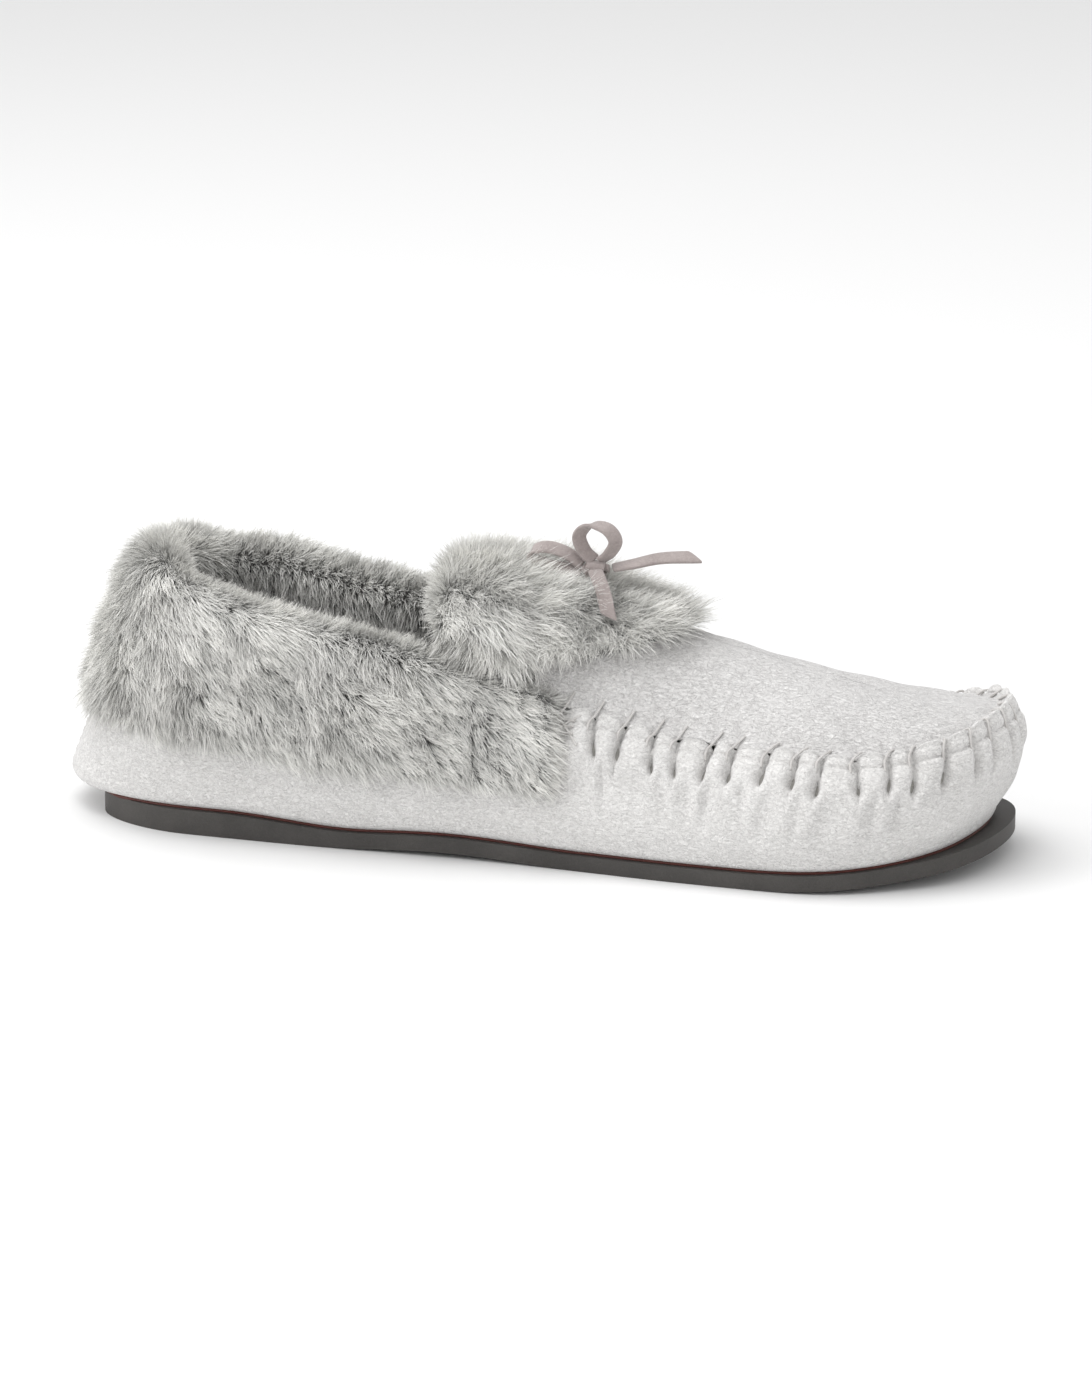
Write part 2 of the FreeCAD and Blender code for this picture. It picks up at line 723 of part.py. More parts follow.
stitches = [whip_stitch(t) for t in even_stations(seam_start + 0.15, seam_end - 0.15, seam_stitches)]
piece("moc_stitches", Part.makeCompound(stitches))
tacks = [strand([layer(t, q, -lift) for q in (0.80, 0.88, 0.96)], thread / 2)
         for t in (seam_start, seam_end)]
piece("seam_bar_tacks", Part.makeCompound(tacks))
heel_marks = spread(0.08, 0.28, heel_stitches)
heel_pairs = [strand([layer(t, q, -lift), layer(t, q + 0.03, -lift)], thread / 2)
              for q in heel_marks for t in (0.09, stations - 0.09)]
piece("heel_stitches", Part.makeCompound(heel_pairs))

# Export, with the origin under the middle of the whole slipper ------------------------------------
whole = Part.makeCompound(list(pieces.values())).optimalBoundingBox(False, False)
origin = V(whole.Center.x, whole.Center.y, whole.ZMin)
os.makedirs("parts", exist_ok=True)
for name, shape in pieces.items():
    moved = shape.copy()
    moved.translate(-origin)
    moved.exportStep("parts/" + name + ".step")
    print(f"{name:20s} {len(shape.Solids):3d} solids  valid {shape.isValid()}")
print("origin", origin, "size", whole.XLength, whole.YLength, whole.ZLength)
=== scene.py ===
import math

import bmesh
import bpy
import numpy as np
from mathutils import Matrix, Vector


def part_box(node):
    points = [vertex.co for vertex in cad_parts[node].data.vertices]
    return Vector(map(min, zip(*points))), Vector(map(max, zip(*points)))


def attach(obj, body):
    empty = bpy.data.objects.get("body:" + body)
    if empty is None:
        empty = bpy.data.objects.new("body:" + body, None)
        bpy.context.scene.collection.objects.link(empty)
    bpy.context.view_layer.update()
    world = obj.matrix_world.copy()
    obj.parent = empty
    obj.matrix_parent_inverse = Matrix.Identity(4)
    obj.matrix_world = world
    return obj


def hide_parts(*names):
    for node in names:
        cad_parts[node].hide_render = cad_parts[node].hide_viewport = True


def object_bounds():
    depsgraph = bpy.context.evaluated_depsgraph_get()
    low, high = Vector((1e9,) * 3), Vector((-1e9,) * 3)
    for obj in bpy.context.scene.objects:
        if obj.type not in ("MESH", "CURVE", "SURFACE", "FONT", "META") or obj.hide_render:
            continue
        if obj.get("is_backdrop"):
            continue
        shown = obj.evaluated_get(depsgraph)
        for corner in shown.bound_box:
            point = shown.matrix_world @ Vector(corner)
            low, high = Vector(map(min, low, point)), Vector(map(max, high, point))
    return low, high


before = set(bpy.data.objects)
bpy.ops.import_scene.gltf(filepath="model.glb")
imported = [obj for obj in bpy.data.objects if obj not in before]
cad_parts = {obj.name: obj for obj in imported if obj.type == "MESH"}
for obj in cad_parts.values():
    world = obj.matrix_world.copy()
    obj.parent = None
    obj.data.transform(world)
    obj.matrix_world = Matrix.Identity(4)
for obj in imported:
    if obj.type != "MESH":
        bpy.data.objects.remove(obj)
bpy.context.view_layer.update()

# The setting: a plain pale floor, a wide soft light overhead, a softer key from the heel end and a
# weak fill from the toe end. The camera stands beside the outer side of the foot, a little above it.
camera_azimuth = math.radians(14.1)
camera_elevation = math.radians(16.0)
camera_distance = 1.30
camera_lens = 125.4
sensor_width = 36.0
looks_at = Vector((0.0029, 0.0009, 0.0343))

away = Vector((math.sin(camera_azimuth) * math.cos(camera_elevation),
               -math.cos(camera_azimuth) * math.cos(camera_elevation), math.sin(camera_elevation)))
camera = bpy.data.objects.new("camera", bpy.data.cameras.new("camera"))
camera.data.lens = camera_lens
camera.data.sensor_width = sensor_width
camera.location = looks_at + away * camera_distance
camera.rotation_euler = away.to_track_quat("Z", "Y").to_euler()
bpy.context.collection.objects.link(camera)
bpy.context.scene.camera = camera
bpy.context.scene.view_settings.view_transform = "Standard"


def soft_light(name, stands, size, power):
    """A square lamp that faces the slipper."""
    lamp = bpy.data.lights.new(name, "AREA")
    lamp.size = size
    lamp.energy = power
    holder = bpy.data.objects.new(name, lamp)
    holder.location = stands
    holder.rotation_euler = Vector(stands).to_track_quat("Z", "Y").to_euler()
    bpy.context.collection.objects.link(holder)


soft_light("overhead", (-0.35, 0.1, 1.5), size=1.1, power=11.5)
soft_light("key", (-1.3, -0.8, 0.8), size=0.8, power=7.5)
soft_light("fill", (1.3, -0.9, 0.5), size=0.8, power=1.4)
room_light = 0.75
room = bpy.data.worlds.new("room")
room.use_nodes = True
room.node_tree.nodes["Background"].inputs["Color"].default_value = (1, 1, 1, 1)
room.node_tree.nodes["Background"].inputs["Strength"].default_value = room_light
bpy.context.scene.world = room

floor_reach = 9
floor_grey = 0.88
floor_corners = [(x * floor_reach, y * floor_reach, 0) for x, y in ((-1, -1), (1, -1), (1, 1), (-1, 1))]
floor_mesh = bpy.data.meshes.new("floor")
floor_mesh.from_pydata(floor_corners, [], [(0, 1, 2, 3)])
floor_paint = bpy.data.materials.new("floor_paint")
floor_paint.use_nodes = True
floor_shader = floor_paint.node_tree.nodes["Principled BSDF"]
floor_shader.inputs["Base Color"].default_value = (floor_grey, floor_grey, floor_grey, 1)
floor_shader.inputs["Roughness"].default_value = 0.9
floor_mesh.materials.append(floor_paint)
floor = bpy.data.objects.new("floor", floor_mesh)
bpy.context.collection.objects.link(floor)
floor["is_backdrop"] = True

# ------------------------------------------------------------
# Outsole: one moulding of dark rubber, satin, with a fine moulded grain and dust from the floor.
# It is cemented under the lasted upper, and a thin dark red bead lies in the joint: partly the glue, partly
# the joint's shade painted into its colour.
def place(tree, kind, values=None, **settings):
    """A new node with its settings, and its inputs linked or set."""
    made = tree.nodes.new(kind)
    for name, value in settings.items():
        setattr(made, name, value)
    for key, value in (values or {}).items():
        if isinstance(value, bpy.types.NodeSocket):
            tree.links.new(value, made.inputs[key])
        else:
            made.inputs[key].default_value = value
    return made


def node_group(name, kind, inputs, outputs):
    """A new group with its sockets, and what goes into it and comes out of it."""
    group = bpy.data.node_groups.new(name, kind)
    for label, socket, value in inputs:
        made = group.interface.new_socket(label, in_out="INPUT", socket_type="NodeSocket" + socket)
        if value is not None:
            made.default_value = value
    for label, socket in outputs:
        group.interface.new_socket(label, in_out="OUTPUT", socket_type="NodeSocket" + socket)
    return group, group.nodes.new("NodeGroupInput").outputs, group.nodes.new("NodeGroupOutput").inputs


# A surface with a fine grain and broad uneven patches, as worn rubber and brushed leather have.
uneven, given, result = node_group(
    "uneven_surface", "ShaderNodeTree",
    [("Dark", "Color", (0.1, 0.1, 0.1, 1)), ("Light", "Color", (0.2, 0.2, 0.2, 1)),
     ("Grain", "Float", 1200.0), ("Patch", "Float", 60.0), ("Patchiness", "Float", 0.5),
     ("Softness", "Float", 0.18), ("Stretch", "Vector", (1, 1, 1)),
     ("Roughness", "Float", 0.8), ("Roughness change", "Float", 0.1)],
    [("Colour", "Color"), ("Height", "Float"), ("Roughness", "Float")])
spot = place(uneven, "ShaderNodeTexCoord").outputs["Object"]
spot = place(uneven, "ShaderNodeVectorMath", {0: spot, 1: given["Stretch"]}, operation="MULTIPLY").outputs[0]
grain = place(uneven, "ShaderNodeTexNoise", {"Vector": spot, "Scale": given["Grain"], "Detail": 3.0,
                                             "Roughness": 0.6, "Distortion": 1.2}).outputs[0]
patch = place(uneven, "ShaderNodeTexNoise", {"Vector": spot, "Scale": given["Patch"], "Detail": 3.0,
                                             "Roughness": 0.55}).outputs[0]
both = place(uneven, "ShaderNodeMix", {"Factor": given["Patchiness"], 2: grain, 3: patch}).outputs[0]
darkest = place(uneven, "ShaderNodeMath", {0: 0.5, 1: given["Softness"]}, operation="SUBTRACT").outputs[0]
lightest = place(uneven, "ShaderNodeMath", {0: 0.5, 1: given["Softness"]}, operation="ADD").outputs[0]
tone = place(uneven, "ShaderNodeMapRange", {"Value": both, 1: darkest, 2: lightest}).outputs[0]
uneven.links.new(place(uneven, "ShaderNodeMix", {"Factor": tone, 6: given["Dark"], 7: given["Light"]},
                       data_type="RGBA").outputs[2], result["Colour"])
uneven.links.new(grain, result["Height"])
worn = place(uneven, "ShaderNodeMath", {0: tone, 1: given["Roughness change"], 2: given["Roughness"]},
             operation="MULTIPLY_ADD").outputs[0]
uneven.links.new(worn, result["Roughness"])


def finish(name, dark, light, depth, sheen=0.0, **values):
    """A material of the uneven surface, with its grain pressed in to this depth in millimetres."""
    material = bpy.data.materials.new(name)
    material.use_nodes = True
    tree = material.node_tree
    shader = tree.nodes["Principled BSDF"]
    named = {label.replace("_", " "): value for label, value in values.items()}
    look = place(tree, "ShaderNodeGroup", {"Dark": (*dark, 1), "Light": (*light, 1), **named},
                 node_tree=uneven)
    bump = place(tree, "ShaderNodeBump", {"Height": look.outputs["Height"], "Distance": depth / 1000,
                                          "Strength": 1.0})
    tree.links.new(look.outputs["Colour"], shader.inputs["Base Color"])
    tree.links.new(look.outputs["Roughness"], shader.inputs["Roughness"])
    tree.links.new(bump.outputs[0], shader.inputs["Normal"])
    shader.inputs["Sheen Weight"].default_value = sheen
    shader.inputs["Sheen Roughness"].default_value = 0.5
    shader.inputs["Specular IOR Level"].default_value = 0.35
    return material


def dress(node, material):
    """Gives a carried-over node its finish."""
    holder = bpy.data.objects[node]
    for slot in holder.material_slots:
        slot.material = material


rubber = finish("sole_rubber", (0.040, 0.037, 0.035), (0.082, 0.077, 0.072), 0.10, Grain=1500.0, Patch=45.0,
                Patchiness=0.6, Roughness=0.42, Roughness_change=0.25)
dress("outsole", rubber)

# The last is the foot-shaped form that the slipper is made on. Its shape is in millimetres from the
# back of the heel, with the outer side of the foot at negative Y. The feather line is its lower edge.
feather_length = 253.0
feather_half_width = 42.0
heel_overhang = 12.6
glue_line = 0.2
bottom_radius = 3.0
lasting_margin = 9.0
inner_rise = 3.5
toe_station = 9.0
heel_sole = 6.6
sole_step = 2.4
arch_rise = 1.5
toe_spring = 5.2
feather_points = np.array([
    (0.0, 0.0), (0.032, -0.45), (0.119, -0.715), (0.237, -0.79), (0.395, -0.835), (0.553, -0.88),
    (0.727, -0.985), (0.862, -0.985), (0.96, -0.6), (1.0, 0.07), (0.972, 0.62), (0.87, 0.95),
    (0.735, 1.01), (0.577, 0.86), (0.411, 0.68), (0.245, 0.69), (0.119, 0.665), (0.032, 0.43),
]) * (feather_length, feather_half_width)
stations = len(feather_points)


def ease(x, low, high):
    """0 below low, 1 above high and smooth between."""
    u = np.clip((np.asarray(x, float) - low) / (high - low), 0.0, 1.0)
    return u * u * (3 - 2 * u)


def profile(*points):
    """A smooth function through (share of length, value) points, flat past its ends."""
    xs, ys = np.array(points, float).T
    rise = np.diff(ys) / np.diff(xs)
    slope = np.zeros(len(xs))
    same_way = rise[:-1] * rise[1:] > 0
    total = np.where(same_way, rise[:-1] + rise[1:], 1.0)
    slope[1:-1] = np.where(same_way, 2 * rise[:-1] * rise[1:] / total, 0.0)

    def value(x):
        x = np.clip(np.asarray(x, float), xs[0], xs[-1])
        i = np.clip(np.searchsorted(xs, x, side="right") - 1, 0, len(xs) - 2)
        w = xs[i + 1] - xs[i]
        u = (x - xs[i]) / w
        return (ys[i] * (1 + 2 * u) * (1 - u) ** 2 + ys[i + 1] * u * u * (3 - 2 * u)
                + w * slope[i] * u * (1 - u) ** 2 - w * slope[i + 1] * u * u * (1 - u))

    return value


def unit(v):
    return v / np.maximum(np.linalg.norm(v, axis=-1, keepdims=True), 1e-12)


def feather(t):
    """Plan point of the feather line at station t: 0 at the heel, round the outer side, 9 at the toe."""
    t = np.asarray(t, float)
    i = np.floor(t).astype(int)
    u = (t - i)[..., None]
    a, b, c, d = (feather_points[(i + k) % stations] for k in (-1, 0, 1, 2))
    return 0.5 * (2 * b + (c - a) * u + (2 * a - 5 * b + 4 * c - d) * u ** 2
                  + (3 * b - 3 * c + d - a) * u ** 3)


def outward(t):
    """The level direction out of the foot at station t."""
    along = feather(np.asarray(t) + 1e-3) - feather(np.asarray(t) - 1e-3)
    return unit(np.stack([along[..., 1], -along[..., 0]], -1))


def with_height(plan, z):
    return np.concatenate([plan, np.asarray(z)[..., None]], -1)


def sole_top(x):
    """Top of the outsole over its arch and toe spring; it is thicker under the heel."""
    f = np.asarray(x) / feather_length
    arch = arch_rise * np.sin(np.pi * np.clip((f - 0.30) / 0.30, 0, 1)) ** 2
    spring = toe_spring * (np.clip(f - 0.735, 0, None) / 0.277) ** 2
    return arch + spring + heel_sole - sole_step * ease(f, 0.20, 0.375)


topline_height = profile((0, 68), (0.12, 63), (0.24, 56), (0.395, 50), (0.555, 41.5), (0.727, 33),
                         (0.86, 32.5), (0.96, 37), (1.0, 40))
topline_width = profile((0, 0.79), (0.12, 0.80), (0.24, 0.84), (0.40, 0.83), (0.56, 0.725), (0.727, 0.67),
                        (0.86, 0.745), (0.96, 0.85), (1.0, 0.9))
topline_shift = profile((0, 23), (0.12, 8.74), (0.24, 4), (0.395, -1), (0.555, -3), (0.727, -2),
                        (0.86, 0), (1.0, 3))
low_swell = profile((0, -8), (0.15, 0), (0.4, 3), (0.7, 5), (1.0, 6))
high_swell = profile((0, 9), (0.12, 6), (0.3, 3), (0.5, 5), (0.7, 9), (0.86, 8), (1.0, 5))
high_drop = profile((0, 18), (0.2, 16), (0.45, 12), (0.6, 4), (0.75, 2.5), (0.9, 4), (1.0, 8))
low_rise = 0.33


def top_edge(t):
    """The wall's top edge: the sewn seam round the toe, and the topline of the opening behind it."""
    t = np.asarray(t, float)
    b = feather(t)
    f = b[..., 0] / feather_length
    rise = inner_rise * ease(f, 0.1, 0.2) * (1 - ease(f, 0.45, 0.55)) * (t % stations > toe_station)
    return np.stack([b[..., 0] + topline_shift(f), b[..., 1] * topline_width(f),
                     topline_height(f) + rise], -1)


def skin(t, q):
    """The wall's outer face: q runs from -2 under the sole's edge, to 0 round the bend, to 1 at the top."""
    t, q = np.broadcast_arrays(np.asarray(t, float), np.asarray(q, float))
    b, n = feather(t), outward(t)
    f = b[..., 0] / feather_length
    bend = np.clip(q + 1, 0, 1) * np.pi / 2
    back = bottom_radius * (1 - np.sin(bend)) + lasting_margin * np.clip(-1 - q, 0, None)
    under = b - n * back[..., None]
    low = with_height(under, sole_top(under[..., 0]) + glue_line + bottom_radius * (1 - np.cos(bend)))
    foot = with_height(b, sole_top(b[..., 0]) + glue_line + bottom_radius)
    high = top_edge(t)
    level = with_height(n, np.zeros(n.shape[:-1]))
    up = np.array([0.0, 0.0, 1.0])
    p1 = foot + level * low_swell(f)[..., None] + up * (low_rise * (high - foot)[..., 2])[..., None]
    p2 = high + level * high_swell(f)[..., None] - up * high_drop(f)[..., None]
    u = np.clip(q, 0, 1)[..., None]
    wall = foot * (1 - u) ** 3 + 3 * p1 * u * (1 - u) ** 2 + 3 * p2 * u * u * (1 - u) + high * u ** 3
    return np.where(q[..., None] < 0, low, wall)


# The frame's box of the wall says where the last stands.
around, upwards = np.meshgrid(np.linspace(0, stations, 721), np.linspace(-1, 1, 81))
wall_low, wall_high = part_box("sidewall")
last_low, last_high = skin(around, upwards).reshape(-1, 3).min(0), skin(around, upwards).reshape(-1, 3).max(0)
last_origin = np.array([(last_low[0] + last_high[0]) / 2 - 500 * (wall_low.x + wall_high.x),
                        (last_low[1] + last_high[1]) / 2 - 500 * (wall_low.y + wall_high.y), 0.0])


def to_frame(points):
    """Points on the last, in the frame's metres."""
    return (np.asarray(points, float).reshape(-1, 3) - last_origin) / 1000


def show(name, mesh, material):
    mesh.materials.clear()
    mesh.materials.append(material)
    made = bpy.data.objects.new(name, mesh)
    bpy.context.collection.objects.link(made)
    return made


def solid(name, points, faces, material):
    """A smooth piece from points on the last; its faces are lists of corners."""
    mesh = bpy.data.meshes.new(name)
    mesh.from_pydata(to_frame(points).tolist(), [], [list(map(int, face)) for face in faces])
    mesh.validate()
    mesh.shade_smooth()
    return show(name, mesh, material)


def grid_faces(rows, columns, ring=False):
    """Quads of a grid of points; ring joins its last column to its first."""
    i, j = np.meshgrid(np.arange(rows - 1), np.arange(columns if ring else columns - 1), indexing="ij")
    k = (j + 1) % columns
    quads = np.stack([i * columns + j, i * columns + k, (i + 1) * columns + k, (i + 1) * columns + j], -1)
    return quads.reshape(-1, 4)


def tube_along(name, path, radius, material, sides=8):
    """A closed ring of tube along a closed path on the last."""
    ahead = unit(np.roll(path, -1, 0) - np.roll(path, 1, 0))
    side = unit(np.cross(ahead, (0, 0, 1)))
    over = np.cross(side, ahead)
    angle = np.linspace(0, 2 * np.pi, sides, endpoint=False)
    ring = path + radius * (np.cos(angle)[:, None, None] * side + np.sin(angle)[:, None, None] * over)
    ring = np.concatenate([ring, ring[:1]])
    return solid(name, ring, grid_faces(sides + 1, len(path), ring=True), material)


# The bead's dark red colour is partly glue and partly painted shade of the joint between sole and upper.
glue_and_joint_shade = finish("glue_with_painted_joint_shade", (0.060, 0.014, 0.010), (0.120, 0.030, 0.022), 0.15, Grain=900.0, Patch=120.0,
                Roughness=0.45)
bead_radius = 0.5
bead_past_edge = 0.4
bead_at = np.linspace(0, stations, 361)[:-1]
bead_plan, bead_out = feather(bead_at), outward(bead_at)
heel_inset = (heel_overhang + bead_past_edge) * (1 - ease(bead_plan[:, 0] / feather_length, 0, 0.2))
heel_inset = heel_inset * np.maximum(-bead_out[:, 0], 0) ** 1.5 - bead_past_edge
bead_inset = np.maximum(heel_inset, bottom_radius * 0.55)
bead_plan = bead_plan - bead_out * bead_inset[:, None]
cement_bead = tube_along("cement_bead", with_height(bead_plan, sole_top(bead_plan[:, 0]) + glue_line),
                         bead_radius, glue_and_joint_shade)
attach(cement_bead, "slipper")

# ------------------------------------------------------------
# Inside the bottom: a felt filler, a fibre insole board and a soft foam insole. They are cut flat
# and cemented one on another, and the pile sock covers them.
dress("bottom_filler", finish("filler_felt", (0.12, 0.11, 0.10), (0.24, 0.22, 0.20), 0.3, 0.3, Grain=900.0))
dress("insole_board", finish("fibre_board", (0.42, 0.34, 0.25), (0.58, 0.49, 0.38), 0.1, Grain=1400.0,
                             Patch=90.0))
dress("insole_foam", finish("insole_foam", (0.62, 0.58, 0.48), (0.80, 0.76, 0.66), 0.3, Grain=1800.0))

# ------------------------------------------------------------
# Wall of the upper: one strip of pale suede, 1.2 mm thick, closed by a seam at the back of the heel.
# Its lower edge is turned in and cemented under the board, and round the toe its upper edge is
# gathered into the moccasin seam: plump lobes with a short pinch between them, and folds below.
suede_thickness = 1.2
collar_front = 0.553
gather_pitch = 7.8
gather_height = 2.9
pinch_depth = 8.6
groove_depth = 0.9
dimple_depth = 2.0
hem_crease = 0.85
fold_reach = 27.0
seam_roll = 1.15
seam_scallop = 1.7
seam_past_collar = 0.02
gather_columns = 14
heel_ridge = 0.45
heel_groove = 1.0
crease_depth = 0.35


def station_at(x, side):
    """The station where the top edge reaches x, on the outer (-1) or the inner (1) side of the foot."""
    t = np.linspace(0.0, toe_station, 3000) if side < 0 else np.linspace(stations, toe_station, 3000)
    return np.interp(x, top_edge(t)[:, 0], t)


def skin_normal(t, q):
    """The direction straight out of the wall's outer face."""
    q = np.minimum(np.asarray(q, float), 1 - 1e-3)
    up = skin(t, q + 1e-3) - skin(t, q - 1e-3)
    along = skin(np.asarray(t) + 1e-3, q) - skin(np.asarray(t) - 1e-3, q)
    return unit(np.cross(along, up))


def settle(piece):
    """Turns what the modifiers make into the piece's own mesh."""
    made = bpy.data.meshes.new_from_object(piece.evaluated_get(bpy.context.evaluated_depsgraph_get()))
    piece.modifiers.clear()
    piece.data = made
    return piece


def thicken(piece, depth):
    """Gives a sheet its thickness in millimetres, under its face."""
    wall = piece.modifiers.new("thickness", "SOLIDIFY")
    wall.thickness = depth / 1000
    wall.offset = -1.0
    return settle(piece)


def stand_in(piece, body, slot, *nodes):
    """Puts a piece on its body in the place of these nodes; the slot is not used."""
    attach(piece, body)
    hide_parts(*nodes)


seam_start = float(station_at((collar_front + seam_past_collar) * feather_length, -1))
seam_end = float(station_at((collar_front + seam_past_collar) * feather_length, 1))
run_at = np.linspace(0, stations, 6001)
run = np.concatenate([[0], np.cumsum(np.linalg.norm(np.diff(top_edge(run_at), axis=0), axis=1))])


def edge_run(t):
    """Millimetres along the top edge from the heel."""
    return np.interp(t, run_at, run)


seam_length = float(edge_run(seam_end) - edge_run(seam_start))
gathers = round(seam_length / gather_pitch)
gather_rng = np.random.default_rng(7)
gather_size = gather_rng.uniform(0.72, 1.2, gathers + 3)
gather_lean = gather_rng.uniform(-0.2, 0.35, gathers + 3)
pinch_shift = gather_rng.uniform(-1.1, 1.1, gathers + 3)
pinch_place = gather_rng.uniform(-0.13, 0.13, gathers + 3)
fold_depth = gather_rng.uniform(0.2, 1.0, gathers + 3)


def pinch_run(i):
    """Where along the seam pinch i is, in gathers."""
    return i + pinch_place[i]


def gather_relief(t, d):
    """How far the gathered suede stands out of the wall, d below the seam, and the lobe's crown, 0 to 1."""
    s = (edge_run(t) - edge_run(seam_start)) / gather_pitch
    inside = ease(s, -0.4, 0.8) * (1 - ease(s, gathers - 0.8, gathers + 0.4))
    s = np.clip(s, 0, gathers)
    s = s + np.interp(s, np.arange(gathers + 1), gather_lean[:gathers + 1]) * d / 14.0
    s = np.interp(s, [pinch_run(i) for i in range(gathers + 2)], np.arange(gathers + 2))
    lobe = np.clip(np.floor(s).astype(int), 0, gathers)
    c = 2 * (s - lobe) - 1
    pinch = np.clip(np.round(s).astype(int), 0, gathers)
    near_pinch = 1 - np.abs(c)
    deep = pinch_depth + pinch_shift[pinch]
    crown = 1 - np.abs(c) ** 3.0
    lobes = gather_height * gather_size[lobe] * (crown - 0.5) * ease(d, -3.0, 4.5) * (1 - ease(d, 8.0, 19))
    groove = (-groove_depth * np.exp(-(near_pinch / 0.11) ** 2) * ease(d, -0.5, 1.5)
              * (1 - ease(d, deep - 2, deep + 2.5)))
    dimple = -dimple_depth * np.exp(-(near_pinch / 0.24) ** 2 - ((d - deep) / 2.0) ** 2)
    hem = 0.35 * np.exp(-((d - 1.0) / 0.9) ** 2) - hem_crease * np.exp(-((d - 2.7) / 0.6) ** 2)
    hem = hem * np.sqrt(np.maximum(crown, 0))
    shoulder = 0.5 * np.exp(-(near_pinch / 0.5) ** 2 - ((d - deep - 4.4) / 2.6) ** 2)
    folds = fold_depth[pinch] * np.cos(np.pi * c) * ease(d, 9, 14) * (1 - ease(d, 15, fold_reach))
    return inside * (lobes + groove + dimple + hem + shoulder - folds), inside * crown


rear_columns = 56
rear = np.linspace(0, edge_run(seam_start), rear_columns, endpoint=False)
front = np.linspace(edge_run(seam_start), edge_run(seam_end), gathers * gather_columns, endpoint=False)
far_rear = np.linspace(edge_run(seam_end), edge_run(stations), rear_columns, endpoint=False)
wall_t = np.interp(np.concatenate([rear, front, far_rear]), run, run_at)
wall_q = np.concatenate([np.linspace(-2, -1, 3)[:-1], np.linspace(-1, 0, 6)[:-1],
                         np.linspace(0, 0.45, 9)[:-1], np.linspace(0.45, 1, 42)])
T, Q = np.meshgrid(wall_t, wall_q)
face, normal = skin(T, Q), skin_normal(T, Q)
steps = np.linalg.norm(np.diff(face, axis=0), axis=-1)
climbed = np.concatenate([np.zeros((1, len(wall_t))), np.cumsum(steps, axis=0)])
below = climbed[-1] - climbed
relief, crown = gather_relief(T, below)
back_run = np.minimum(edge_run(T), run[-1] - edge_run(T))
heel_seam = (heel_ridge * np.exp(-((back_run - 1.8) / 1.1) ** 2)
             - heel_groove * np.exp(-(back_run / 0.75) ** 2))
creases = crease_depth * np.sin(T * 9.1 + Q * 3.0) * np.sin(T * 3.7 - Q * 5.0) * ease(Q, 0.0, 0.3)
face = face + normal * (relief + (heel_seam + creases) * (Q > -1))[..., None]
lobe_number = ((edge_run(wall_t) - edge_run(seam_start)) / gather_pitch).astype(int)
scallop = crown[-1] * seam_scallop * gather_size[np.clip(lobe_number, 0, gathers)]
face[-4:, :, 2] += np.linspace(0.25, 1, 4)[:, None] * (scallop - 0.7 * (crown[-1] > 0))
rolled = []
for turn in np.radians((35, 70, 105, 140, 175)):
    rolled.append(face[-1] - normal[-1] * seam_roll * (1 - math.cos(turn))
                  + np.array([0, 0, 1.0]) * seam_roll * 1.3 * math.sin(turn))
face = np.concatenate([face, np.array(rolled)])
wall_suede = finish("wall_suede", (0.58, 0.568, 0.556), (0.93, 0.918, 0.904), 0.55, 0.35, Grain=2150.0,
                    Patch=60.0, Patchiness=0.15, Softness=0.17, Roughness=0.82, Roughness_change=0.12,
                    Stretch=(0.45, 0.45, 0.8))
suede_wall = solid("suede_wall", face, grid_faces(len(face), len(wall_t), ring=True), wall_suede)
thicken(suede_wall, suede_thickness)
stand_in(suede_wall, "slipper", "suede", "sidewall")

# ------------------------------------------------------------
# Behind the suede: a stiff heel counter and a tape that keeps the topline from stretching. Both are
# cemented to the suede before the lining goes in, and neither shows on the finished slipper.
dress("heel_counter", finish("counter_board", (0.45, 0.36, 0.26), (0.60, 0.50, 0.38), 0.1, Grain=1300.0))
dress("topline_tape", finish("woven_tape", (0.70, 0.68, 0.62), (0.85, 0.83, 0.78), 0.15, Grain=2600.0,
                             Stretch=(1, 1, 3)))

# ------------------------------------------------------------
# Pile linings: a knitted cloth with a short curly pile, cemented inside the quarters and on the
# insole. The toe and the vamp have the same cloth, shorn, because nobody sees it.
lining_thickness = 2.6
counter_reach = 1.35
counter_thickness = 1.2
tape_thickness = 0.6
lining_cloth = finish("lining_cloth", (0.30, 0.29, 0.27), (0.46, 0.45, 0.42), 0.6, 0.4, Grain=1100.0,
                      Patch=140.0)


def lining_depth(t):
    """The lining lies under the suede, and steps inward over the counter and the tape."""
    over_counter = 1 - ease(np.minimum(t, stations - t), counter_reach, counter_reach + 1)
    step = (counter_thickness - tape_thickness) * over_counter
    return suede_thickness + 2 * glue_line + tape_thickness + step


def layer(t, q, depth):
    """A point at this depth under the wall's outer face, or above it where depth is negative."""
    return skin(t, q) - skin_normal(t, q) * np.broadcast_to(depth, np.broadcast(t, q).shape)[..., None]


def closed_sheet(name, near, far, material):
    """A closed thin piece between two grids of points, its near face outward."""
    rows, columns = near.shape[:2]
    size = rows * columns
    quads = grid_faces(rows, columns)
    rim = ([(0, j) for j in range(columns)] + [(i, columns - 1) for i in range(1, rows)]
           + [(rows - 1, j) for j in range(columns - 2, -1, -1)] + [(i, 0) for i in range(rows - 2, 0, -1)])
    rim = [i * columns + j for i, j in rim]
    sides = [(b, a, a + size, b + size) for a, b in zip(rim, rim[1:] + rim[:1])]
    faces = quads.tolist() + (quads[:, ::-1] + size).tolist() + sides
    return solid(name, np.concatenate([near.reshape(-1, 3), far.reshape(-1, 3)]), faces, material)


